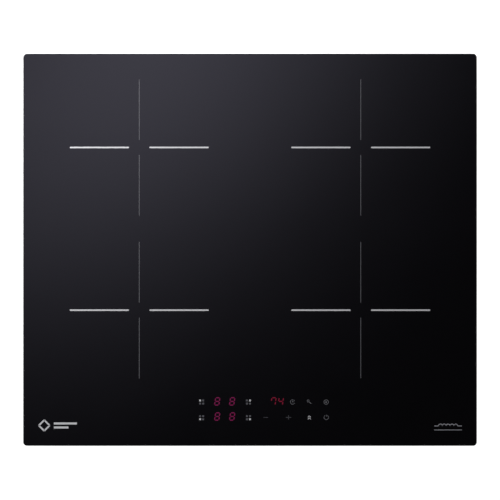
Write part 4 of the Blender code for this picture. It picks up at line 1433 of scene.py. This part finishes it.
    def execute(self, context):
        ferrite = moulded("ferrite", (0.035, 0.035, 0.038), (0.015, 0.015, 0.017), 0.5, 1400,
                          0.00004)
        aluminium = metal("carrier_aluminium", (0.80, 0.81, 0.82), (0.52, 0.53, 0.55), 500,
                          (1, 0.1, 1))
        rubber = moulded("sensor_rubber", (0.62, 0.60, 0.56), (0.45, 0.44, 0.41), 0.5)
        mica = flaky_mica()
        sleeve = moulded("lead_sleeve", (0.60, 0.58, 0.52), (0.42, 0.40, 0.35), 0.38, 900)
        thin_sleeve = moulded("sensor_lead_sleeve", (0.55, 0.08, 0.05), (0.36, 0.04, 0.03), 0.4,
                              900)
        plug = moulded("coil_plugs", (0.62, 0.61, 0.57), (0.50, 0.49, 0.46))
        spring = metal("spring_steel", (0.52, 0.52, 0.54), (0.30, 0.30, 0.32), 700, (1, 0.1, 1),
                       0.2)
        layers = (
            ("coil_carrier", self.carrier, aluminium, "aluminium"),
            ("ferrites", self.ferrites, ferrite, "ferrite"),
            ("mica_sheet", self.mica, mica, "mica"),
            ("heat_sensor", self.sensor, rubber, "sensor_rubber"),
        )
        board_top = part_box("right_power_board")[1].z
        for zone in ZONES:
            body = f"{zone}_coil"
            low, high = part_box(f"{zone}_coil_winding")
            middle = tuple(((low + high) / 2).xy)
            rope = litz(f"{zone}_litz", middle)
            wound = self.winding(low, high, middle)
            stand_in(f"{zone}_coil_winding", [wound], body, rope, "copper_litz", 50)
            for layer, model, material, slot in layers:
                name = f"{zone}_{layer}"
                stand_in(name, [model(*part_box(name), middle)], body, material, slot)
            repaint(f"{zone}_coil_spring", spring)
            sleeves, thin, plugs = self.leads(zone, middle, board_top)
            finish(joined(f"{zone}_coil_leads", [sleeves]), body, sleeve, "white_plastic", angle=60)
            finish(joined(f"{zone}_sensor_leads", [thin]), body, thin_sleeve, "sensor_rubber",
                   angle=60)
            finish(joined(f"{zone}_coil_plugs", [plugs]), body, plug, "white_plastic")
        return {"FINISHED"}


# ------------------------------------------------------------------ fans
class HOB_OT_fans(Operator):
    """Scroll housings, wound motors and bladed impellers of the two blower fans"""

    bl_idname = "hob.fans"
    bl_label = "Blower fans"

    WALL = 0.0015

    def scroll(self, radius, inner, mouth, side, centre, z, rise):
        """The outline of the round scroll and its straight duct, pulled up."""
        join = math.acos(inner / radius)
        steps = 40
        sweep = 2 * math.pi - join
        points = [(inner, -mouth), (radius, -mouth)]
        points += [(radius * math.cos(sweep * i / steps), radius * math.sin(sweep * i / steps))
                   for i in range(steps + 1)]
        spots = [(centre[0] - side * x, centre[1] + y, z) for x, y in points]
        return add_prism("scroll", spots, (0, 0, rise))

    def tube(self, name, bore, radius, low, high, centre, sides):
        profile = [(bore, low), (radius, low), (radius, high), (bore, high)]
        return add_turned(name, profile, centre, sides, True)

    def housing(self, column, centre):
        side = SIDES[column]
        low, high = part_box(f"{column}_fan_housing")
        wall = self.WALL
        mouth = centre[1] - low.y
        body = self.scroll(0.042, 0.002, mouth, side, centre, low.z, high.z - low.z)
        bevel(body, lambda edge: edge_at(high.z)(edge) or edge_at(low.z)(edge), 0.0006, 2)
        lugs = []
        for angle in (35, 150, 215):
            spot = (centre[0] - side * 0.0435 * math.cos(math.radians(angle)),
                    centre[1] + 0.0435 * math.sin(math.radians(angle)))
            lugs.append(add_cylinder("lug", (*spot, low.z + 0.0015), 0.0034, 0.003, 24))
        for piece in lugs:
            cut(body, piece, "UNION")
        hollow = self.scroll(0.042 - wall, 0.002 + wall, mouth + 0.01, side, centre, low.z + wall,
                             high.z - low.z - 2 * wall)
        cut(body, hollow)
        cut(body, add_cylinder("inlet", (*centre, low.z), 0.031, 0.006, 64, top=0.029))
        ribs = []
        for number in range(6):
            rib = add_box("rib", (0.019, -0.0006, high.z - 0.001), (0.040, 0.0006, high.z + 0.0009))
            ribs.append(moved(rib, shift(*centre) @ turn(math.radians(60 * number + 15))))
        ribs.append(self.tube("ring", 0.0175, 0.019, high.z - 0.001, high.z + 0.0009, centre, 48))
        return joined("scroll_housing", [body, *ribs])

    def motor(self, column, centre):
        """Laminated core with four copper coils, on a small green board."""
        low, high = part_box(f"{column}_fan_motor")
        bore = 0.0018
        base = self.tube("base", bore, 0.018, high.z - 0.0012, high.z, centre, 40)
        profile = [(bore, low.z), (0.0045, low.z), (0.0060, low.z + 0.0015),
                   (0.0060, high.z - 0.001), (bore, high.z - 0.001)]
        sleeve = add_turned("sleeve", profile, centre, 32, True)
        plates, coils = [], []
        thick = 0.0006
        levels = [0.0135 + 0.0008 * number for number in range(8)]
        for z in levels:
            plates.append(self.tube("plate", 0.0055, 0.0075, z, z + thick, centre, 32))
        for number in range(4):
            quarter = shift(*centre) @ turn(math.pi / 2 * number)
            for z in levels:
                shoe = add_box("shoe", (0.007, -0.0014, z), (0.0118, 0.0014, z + thick))
                face = add_box("shoe", (0.0116, -0.0062, z), (0.0128, 0.0062, z + thick))
                plates += [moved(shoe, quarter), moved(face, quarter)]
            for turn_number in range(6):
                x = 0.0079 + 0.0006 * turn_number
                half_y, half_z, middle = 0.0026, 0.0042, 0.0165
                angles = [2 * math.pi * step / 16 for step in range(17)]
                loop = [(x, half_y * math.cos(a), middle + half_z * math.sin(a)) for a in angles]
                coils.append(moved(add_wire("turn", loop, 0.0003, 8), quarter))
        return base, sleeve, joined("plates", plates), joined("coils", coils)

    def impeller(self, centre):
        """Hub cup, back plate and shroud ring, with eighteen forward-curved blades between them."""
        profile = [(0, 0.0225), (0.0015, 0.0225), (0.0015, 0.0092), (0.0150, 0.0092),
                   (0.0150, 0.0227), (0.0378, 0.0227), (0.0380, 0.0224), (0.0380, 0.0217),
                   (0.0378, 0.0215), (0.0172, 0.0215), (0.0165, 0.0208), (0.0165, 0.0092),
                   (0.0153, 0.0080), (0.0060, 0.0080), (0.0055, 0.0085), (0, 0.0085)]
        cup = add_turned("cup", profile, (0, 0), 64)
        profile = [(0.0330, 0.0041), (0.0334, 0.0040), (0.0378, 0.0040), (0.0380, 0.0043),
                   (0.0380, 0.0050), (0.0378, 0.0052), (0.0334, 0.0052), (0.0330, 0.0050)]
        ring = add_turned("shroud", profile, (0, 0), 64, True)
        outline = []
        steps = 5
        for edge, order in ((0.00055, range(steps + 1)), (-0.00055, reversed(range(steps + 1)))):
            for step in order:
                share = step / steps
                radius = 0.0290 + 0.0085 * share
                angle = 0.16 * share * share + 0.02 * share
                outline.append((radius * math.cos(angle) - edge * math.sin(angle),
                                radius * math.sin(angle) + edge * math.cos(angle), 0.0047))
        blade = add_prism("blade", outline, (0, 0, 0.0172))
        turns = [turn(2 * math.pi * number / 18) for number in range(18)]
        blades = everywhere("blades", blade, turns)
        return moved(joined("impeller", [cup, ring, blades]), shift(*centre))

    def execute(self, context):
        black = moulded("fan_black", (0.028, 0.028, 0.030), (0.012, 0.012, 0.013), 0.38)
        white = moulded("impeller_grey", (0.52, 0.53, 0.53), (0.42, 0.43, 0.43), 0.4)
        steel = metal("motor_plates", (0.46, 0.46, 0.48), (0.26, 0.26, 0.28), 1200, (1, 1, 0.1),
                      0.32)
        copper = metal("motor_copper", (0.78, 0.34, 0.15), (0.50, 0.16, 0.06), 2500, (1, 1, 1),
                       0.28)
        green = circuit("motor_board", (0.010, 0.075, 0.035), (0.030, 0.16, 0.075))
        for column in SIDES:
            centre = fan_axis(column)
            scroll = self.housing(column, centre)
            stand_in(f"{column}_fan_housing", [scroll], "hob", black, "black_plastic")
            base, sleeve, plates, coils = self.motor(column, centre)
            stand_in(f"{column}_fan_motor", [plates, sleeve], "hob", steel, "grey_plastic")
            finish(joined(f"{column}_motor_board", [base]), "hob", green, "circuit_board")
            finish(joined(f"{column}_motor_coils", [coils]), "hob", copper, "copper_litz", angle=60)
            wheel = self.impeller(centre)
            stand_in(f"{column}_fan_impeller", [wheel], f"{column}_impeller", white,
                     "white_plastic")
        return {"FINISHED"}


# ------------------------------------------------------------------ electronics
class HOB_OT_power_boards(Operator):
    """Power boards with their transistors, chokes, capacitors, chips, plugs and screws"""

    bl_idname = "hob.power_boards"
    bl_label = "Power boards"

    TRANSISTORS = (-0.034, -0.008, 0.018, 0.044, 0.070)
    TRANSISTOR_ROW = 0.1123
    # X, Y, width and pins on each side
    CHIPS = (
        (0.075, -0.020, 0.010, 8),
        (0.075, 0.008, 0.007, 6),
        (0.205, 0.080, 0.007, 6),
        (0.135, -0.140, 0.012, 10),
        (0.160, -0.080, 0.008, 6),
        (0.095, 0.060, 0.006, 4),
    )

    def at(self, side, x, y, size, base):
        """Low and high corners of a component that stands on the board, given by its middle."""
        x *= side
        return ((x - size[0] / 2, y - size[1] / 2, base),
                (x + size[0] / 2, y + size[1] / 2, base + size[2]))

    def board(self, low, high):
        board = add_box("board", low, high)
        bevel(board, upright, 0.003, 3)
        holes = [add_cylinder("hole", (x, y, low.z), 0.0017, 0.01, 20)
                 for x, y in board_corners(low, high)]
        return cut(board, joined("holes", holes))

    def chips(self, side, top):
        """Power transistors and the rectifier against the heat sink, and the control chips."""
        pieces = []
        for y in self.TRANSISTORS:
            case = (0.0048, 0.0158, 0.0200)
            low, high = self.at(side, self.TRANSISTOR_ROW, y, case, top + 0.0030)
            pieces.append(block("transistor", low, high, 0.0006))
        for y in (-0.024, 0.020):
            low, high = self.at(side, 0.1738, y, (0.0048, 0.0300, 0.0190), top + 0.0030)
            pieces.append(block("rectifier", low, high, 0.0008))
        for x, y, size, _ in self.CHIPS:
            low, high = self.at(side, x, y, (size, size * 0.7, 0.0016), top + 0.0002)
            pieces.append(block("chip", low, high, 0.0002))
        for number in range(30):
            x = 0.066 + 0.0052 * (number % 6) + 0.0007 * (number % 5)
            y = -0.052 + 0.0068 * (number // 6) + (0.085 if number % 2 else 0)
            low, high = self.at(side, x, y, (0.0020, 0.0012, 0.0007), top)
            pieces.append(add_box("small_part", low, high))
        return joined("chips", pieces)

    def legs(self, side, top):
        pins = []
        for y in self.TRANSISTORS:
            for offset in (-0.0054, 0, 0.0054):
                leg = (0.0007, 0.0013, 0.0036)
                low, high = self.at(side, self.TRANSISTOR_ROW, y + offset, leg, top - 0.0002)
                pins.append(add_box("leg", low, high))
        for x, y, size, count in self.CHIPS:
            for row in (-1, 1):
                for number in range(count):
                    spot = x + (number - (count - 1) / 2) * size / count
                    edge = y + row * (size * 0.35 + 0.0006)
                    low, high = self.at(side, spot, edge, (0.0004, 0.0016, 0.0008), top)
                    pins.append(add_box("pin", low, high))
        return joined("component_legs", pins)

    def cans(self, side, top):
        sleeves, tops = [], []
        for x, y, radius, height in ((0.205, 0.022, 0.0085, 0.0240), (0.205, 0.046, 0.0085, 0.0240),
                                     (0.188, 0.068, 0.0050, 0.0130), (0.062, 0.036, 0.0040, 0.0110),
                                     (0.062, 0.050, 0.0040, 0.0110)):
            place = (side * x, y)
            roll = radius * 0.88
            profile = [(0, top), (roll, top), (radius, top + 0.0012), (radius, top + 0.0026),
                       (roll, top + 0.0034), (radius, top + 0.0042),
                       (radius, top + height - 0.0008), (radius * 0.94, top + height),
                       (0, top + height - 0.0002)]
            sleeves.append(add_turned("sleeve", profile, place, 32))
            can = add_cylinder("can_top", (*place, top + height), radius * 0.86, 0.0004, 32)
            score = add_box("score", (-radius, -0.0002, top + height),
                            (radius, 0.0002, top + height + 0.001))
            second = copied(score, turn(math.pi / 2))
            for cutter in (score, second):
                cut(can, moved(cutter, shift(*place)))
            tops.append(can)
        return joined("can_sleeves", sleeves), joined("can_tops", tops)

    def plugs(self, side, top):
        pieces = []
        spots = [(0.0555, -0.0785, 0.008, 0.013), (0.0555, 0.0780, 0.008, 0.013),
                 (0.0570, -0.0600, 0.005, 0.008), (0.0570, 0.0590, 0.005, 0.008),
                 (0.150, 0.0955, 0.012, 0.006), (0.110, -0.163, 0.024, 0.007)]
        for x, y, width, depth in spots:
            low, high = self.at(side, x, y, (width, depth, 0.0100), top)
            plug = block("plug", low, high, 0.0004)
            inset = ((low[0] + 0.001, low[1] + 0.001, low[2] + 0.0036),
                     (high[0] - 0.001, high[1] - 0.001, high[2] + 1))
            pieces.append(cut(plug, add_box("mouth", *inset)))
        return joined("board_plugs", pieces)

    def choke(self, column):
        """Ring core with two windings of thick wire."""
        low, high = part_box(f"{column}_filter_choke")
        middle = (low + high) / 2
        inner, outer = 0.0098, 0.0152
        z0, z1 = low.z + 0.0018, high.z - 0.0018
        soft = 0.0008
        profile = [(inner + soft, z0), (outer - soft, z0), (outer, z0 + soft), (outer, z1 - soft),
                   (outer - soft, z1), (inner + soft, z1), (inner, z1 - soft), (inner, z0 + soft)]
        core = add_turned("core", profile, middle.xy, 48, True)
        turns = []
        for start in (25, 205):
            points = []
            loops, steps = 13, 12
            for step in range(loops * steps + 1):
                around = math.radians(start + 130 * step / (loops * steps))
                phase = 2 * math.pi * step / steps
                squash = 1 / max(abs(math.cos(phase)), abs(math.sin(phase))) ** 0.7
                wide, tall = (outer - inner) / 2 + soft, (z1 - z0) / 2 + soft
                radius = (inner + outer) / 2 + wide * math.cos(phase) * squash
                z = (z0 + z1) / 2 + tall * math.sin(phase) * squash
                points.append((middle.x + radius * math.cos(around),
                               middle.y + radius * math.sin(around), z))
            turns.append(add_wire("turns", points, 0.00062, 8))
        return core, joined("choke_turns", turns)

    def execute(self, context):
        green = circuit("power_board", (0.010, 0.075, 0.035), (0.030, 0.16, 0.075))
        black = moulded("chip_black", (0.030, 0.030, 0.032), (0.014, 0.014, 0.015), 0.45, 1800)
        tin = metal("tinned_legs", (0.75, 0.75, 0.74), (0.50, 0.50, 0.50), 1500, (1, 1, 1), 0.28)
        sleeve = moulded("can_sleeve", (0.030, 0.032, 0.060), (0.012, 0.013, 0.030), 0.3, 700)
        can = metal("can_aluminium", (0.80, 0.80, 0.81), (0.58, 0.58, 0.60), 800, (1, 1, 1), 0.3)
        white = moulded("plug_white", (0.70, 0.69, 0.64), (0.58, 0.57, 0.52))
        epoxy = moulded("film_capacitor", (0.62, 0.46, 0.10), (0.48, 0.34, 0.06), 0.32, 900)
        core = moulded("choke_core", (0.06, 0.26, 0.17), (0.03, 0.16, 0.10), 0.4, 1200)
        copper = metal("choke_copper", (0.78, 0.34, 0.15), (0.50, 0.16, 0.06), 2500, (1, 1, 1),
                       0.25)
        fins = metal("heat_sink_aluminium", (0.78, 0.79, 0.80), (0.50, 0.51, 0.53), 900,
                     (1, 0.03, 1), 0.28)
        plated = plated_steel("board_screws")
        for column, side in SIDES.items():
            low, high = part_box(f"{column}_power_board")
            top = high.z
            stand_in(f"{column}_power_board", [self.board(low, high)], "hob", green,
                     "circuit_board")
            sleeves, tops = self.cans(side, top)
            core_ring, turns = self.choke(column)
            films = [block("film", *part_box(f"{column}_film_capacitor"), 0.0015, 3)]
            for y in (-0.072, -0.046):
                ends = self.at(side, 0.205, y, (0.032, 0.016, 0.020), top + 0.0003)
                films.append(block("film", *ends, 0.0012, 3))
            stand_in(f"{column}_film_capacitor", films, "hob", epoxy, "film_capacitor")
            stand_in(f"{column}_filter_choke", [core_ring], "hob", core, "choke_core")
            finish(joined(f"{column}_choke_turns", [turns]), "hob", copper, "copper_litz", angle=60)
            repaint(f"{column}_heat_sink", fins)
            screws = [screw("board_screw", 0.0030, 0.0018, 0.0014, 0.004, (x, y, top))
                      for x, y in board_corners(low, high)]
            for label, piece, material, slot in (
                ("board_chips", self.chips(side, top), black, "black_plastic"),
                ("component_legs", self.legs(side, top), tin, "zinc_screw"),
                ("can_sleeves", sleeves, sleeve, "black_plastic"),
                ("can_tops", tops, can, "aluminium"),
                ("board_plugs", self.plugs(side, top), white, "white_plastic"),
                ("board_screws", joined("board_screws", screws), plated, "zinc_screw"),
            ):
                finish(joined(f"{column}_{label}", [piece]), "hob", material, slot)
        return {"FINISHED"}


class HOB_OT_touch_board(Operator):
    """Touch board with its sensor springs and chips, its carrier, displays and ribbon cable"""

    bl_idname = "hob.touch_board"
    bl_label = "Touch board"

    def springs(self, top, under_glass):
        """A small coil spring below each key, from the board to the glass."""
        spots = [symbol[0] for symbol in symbols().values()]
        spots += [(x, y) for x in (-0.0629, -0.0020) for y in (PANEL_TOP, PANEL_BOTTOM)]
        springs = []
        turns, steps = 5, 14
        for x, y in spots:
            points = []
            for step in range(turns * steps + 1):
                share = step / (turns * steps)
                angle = 2 * math.pi * step / steps
                radius = 0.0034 - 0.0008 * math.sin(math.pi * share)
                z = top + 0.0004 + (under_glass - top - 0.0008) * share
                points.append((x + radius * math.cos(angle), y + radius * math.sin(angle), z))
            springs.append(add_wire("touch_spring", points, 0.0003, 8))
        return joined("touch_springs", springs)

    def chips(self, top):
        pieces = []
        for x, y, wide, deep, tall in ((0.0120, -0.2000, 0.009, 0.009, 0.0014),
                                       (0.0640, -0.2085, 0.006, 0.004, 0.0012),
                                       (0.0880, -0.2080, 0.006, 0.004, 0.0012),
                                       (0.0090, -0.2240, 0.005, 0.004, 0.0012),
                                       (0.1080, -0.2080, 0.004, 0.010, 0.0030)):
            corners = (x - wide / 2, y - deep / 2, top), (x + wide / 2, y + deep / 2, top + tall)
            pieces.append(block("chip", *corners, 0.0002))
        for number in range(22):
            x, y = -0.0100 + 0.0052 * number, -0.2270 + 0.0014 * (number % 3)
            pieces.append(add_box("part", (x, y, top), (x + 0.0016, y + 0.0008, top + 0.0006)))
        return joined("touch_chips", pieces)

    def display(self, name):
        """A display block with a frame round its sunken, dark diffuser."""
        low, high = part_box(name)
        body = block(name, low, high, 0.0005)
        rim = 0.0012
        well = block("well", (low.x + rim, low.y + rim, high.z - 0.0005),
                     (high.x - rim, high.y - rim, high.z + 0.01),
                     0.0003)
        return cut(body, well)

    def execute(self, context):
        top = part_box("touch_board")[1].z
        green = circuit("touch_board", (0.010, 0.075, 0.035), (0.030, 0.16, 0.075))
        black = moulded("touch_black", (0.030, 0.030, 0.032), (0.013, 0.013, 0.014))
        carrier = moulded("touch_carrier", (0.040, 0.040, 0.042), (0.020, 0.020, 0.022))
        steel = metal("touch_spring_steel", (0.62, 0.62, 0.64), (0.40, 0.40, 0.42), 2000, (1, 1, 1),
                      0.2)
        repaint("touch_board", green)
        repaint("touch_board_carrier", carrier)
        repaint("ribbon_cable", striped_ribbon())
        repaint("coil_deck", metal("deck_aluminium", (0.80, 0.81, 0.82), (0.55, 0.56, 0.58), 300,
                                   (1, 0.05, 1), 0.3))
        finish(self.springs(top, GLASS_LOW.z), "hob", steel, "spring_steel", angle=60)
        finish(self.chips(top), "hob", black, "black_plastic")
        for name in ("zone_display", "timer_display"):
            stand_in(name, [self.display(name)], "hob", black, "black_plastic")
        low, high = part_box("ribbon_cable")
        heads = [block("header", (low.x - 0.002, low.y - 0.0030, top + 0.0003),
                       (high.x + 0.002, low.y + 0.0030, high.z + 0.003)),
                 block("header", (low.x - 0.002, high.y - 0.0040, low.z),
                       (high.x + 0.002, high.y + 0.0020, low.z + 0.0050))]
        finish(joined("ribbon_headers", heads), "hob", carrier, "black_plastic")
        screws = [screw("deck_screw", 0.0030, 0.0013, 0.0014, 0.0052, (side * 0.2552, y, 0.0363),
                        (0, 0, 1))
                  for side in (-1, 1) for y in (-0.195, 0.0, 0.195)]
        plated = plated_steel("deck_screws")
        finish(joined("deck_screws", screws), "hob", plated, "zinc_screw")
        return {"FINISHED"}


class HOB_OT_stage(Operator):
    """Set the pale floor, the soft studio light and the camera straight above the glass"""

    bl_idname = "hob.stage"
    bl_label = "Stage"

    def floor(self, settings):
        deselect()
        bpy.ops.mesh.primitive_plane_add(size=40, location=(0, 0, -0.0004))
        floor = settle("studio_floor")
        pale = Finish("studio_floor")
        mottle = pale.noise(3, 2)
        pale.paint(
            base_color=pale.mix((0.80, 0.80, 0.80), (0.84, 0.84, 0.84), mottle),
            roughness=0.9,
            emission_color=(1, 1, 1),
            emission_strength=settings.floor_glow,
        )
        hidden = pale.node("BsdfTransparent")
        below = pale.node("NewGeometry", output="Backfacing")
        x, y = pale.axes()[:2]
        covered = (abs(x) < settings.hole_x) * (abs(y) < settings.hole_y)
        shown = Socket(pale, pale.surface.outputs[0])
        both = pale.node("MixShader", None,
                         {0: below.math("MAXIMUM", covered), 1: shown, 2: hidden})
        pale.feed(pale.tree.nodes["Material Output"].inputs[0], both)
        floor.data.materials.append(pale.material)

    def surround(self, settings):
        """A pale room with a dark ceiling, and one soft light overhead that fades to the right."""
        world = bpy.data.worlds.new("studio")
        bpy.context.scene.world = world
        world.use_nodes = True
        sky = Shader(world.node_tree, "Generated")
        x, y, z = sky.axes()
        lean = math.radians(42.8)
        steep, gentle, brightness = 234, 102, 1.075
        tint = (1, 0.971, 1.247)
        off_x, off_y = x + 0.037, y - 0.0793
        along = off_x * math.cos(lean) - off_y * math.sin(lean)
        across = off_x * math.sin(lean) + off_y * math.cos(lean)
        drop = along * along * steep + across * across * gentle
        glow = sky.node("Math", {"operation": "EXPONENT"}, {0: drop * -1}) * (z > 0) * brightness
        side = sky.between(x * 0.6 - y * 0.8, -0.9, 0.9, 0.35, 1.45)
        below = sky.between(z, 0.02, -0.10) * settings.below
        room = (sky.between(z, 0.80, 0.97, settings.surround, 0.012) + below) * side
        channels = {0: glow * tint[0] + room, 1: glow * tint[1] + room,
                    2: glow * tint[2] + room * 1.02}
        light = sky.node("CombineColor", None, channels)
        background = sky.tree.nodes["Background"]
        sky.feed(background.inputs["Color"], light)

    def key_light(self, settings):
        data = bpy.data.lights.new("key", "AREA")
        data.shape = "DISK"
        data.size = 0.45
        data.energy = settings.key
        key = bpy.data.objects.new("key", data)
        key.location = (-0.52, 0.47, 0.62)
        key.visible_camera = False
        key.visible_glossy = False
        bpy.context.scene.collection.objects.link(key)

    def camera(self, settings):
        data = bpy.data.cameras.new("camera")
        data.lens = settings.lens
        camera = bpy.data.objects.new("camera", data)
        distance = settings.field * settings.lens / data.sensor_width
        camera.location = (0, -settings.forward, TOP + distance)
        data.clip_end = 100
        bpy.context.scene.collection.objects.link(camera)
        bpy.context.scene.camera = camera

    def execute(self, context):
        settings = context.scene.hob_stage
        self.floor(settings)
        self.surround(settings)
        self.key_light(settings)
        self.camera(settings)
        context.scene.view_settings.view_transform = "Standard"
        return {"FINISHED"}


class HOB_PT_panel(Panel):
    """Lists the hob's pieces in the sidebar"""

    bl_label = "Induction Hob"
    bl_space_type = "VIEW_3D"
    bl_region_type = "UI"
    bl_category = "Hob"

    def draw(self, context):
        for group in SETTINGS:
            box = self.layout.box()
            for key in SETTINGS[group].__annotations__:
                box.prop(getattr(context.scene, group), key)
        for operator in OPERATORS:
            self.layout.operator(operator.bl_idname)


SETTINGS = {
    "hob_glass": HobGlassSettings,
    "hob_print": HobPrintSettings,
    "hob_display": HobDisplaySettings,
    "hob_tray": HobTraySettings,
    "hob_stage": HobStageSettings,
}
OPERATORS = (
    HOB_OT_glass_pane,
    HOB_OT_zone_crosses,
    HOB_OT_touch_keys,
    HOB_OT_digits,
    HOB_OT_corner_marks,
    HOB_OT_bottom_tray,
    HOB_OT_seal_and_frame,
    HOB_OT_worktop_clamps,
    HOB_OT_terminal,
    HOB_OT_terminal_lid,
    HOB_OT_coils,
    HOB_OT_fans,
    HOB_OT_power_boards,
    HOB_OT_touch_board,
    HOB_OT_stage,
)
CLASSES = (*SETTINGS.values(), *OPERATORS, HOB_PT_panel)


def register():
    for cls in CLASSES:
        bpy.utils.register_class(cls)
    for group, cls in SETTINGS.items():
        setattr(bpy.types.Scene, group, PointerProperty(type=cls))


def unregister():
    for group in SETTINGS:
        delattr(bpy.types.Scene, group)
    for cls in reversed(CLASSES):
        bpy.utils.unregister_class(cls)


def main():
    register()
    for operator in OPERATORS:
        family, name = operator.bl_idname.split(".")
        getattr(getattr(bpy.ops, family), name)()


if __name__ == "__main__":
    main()
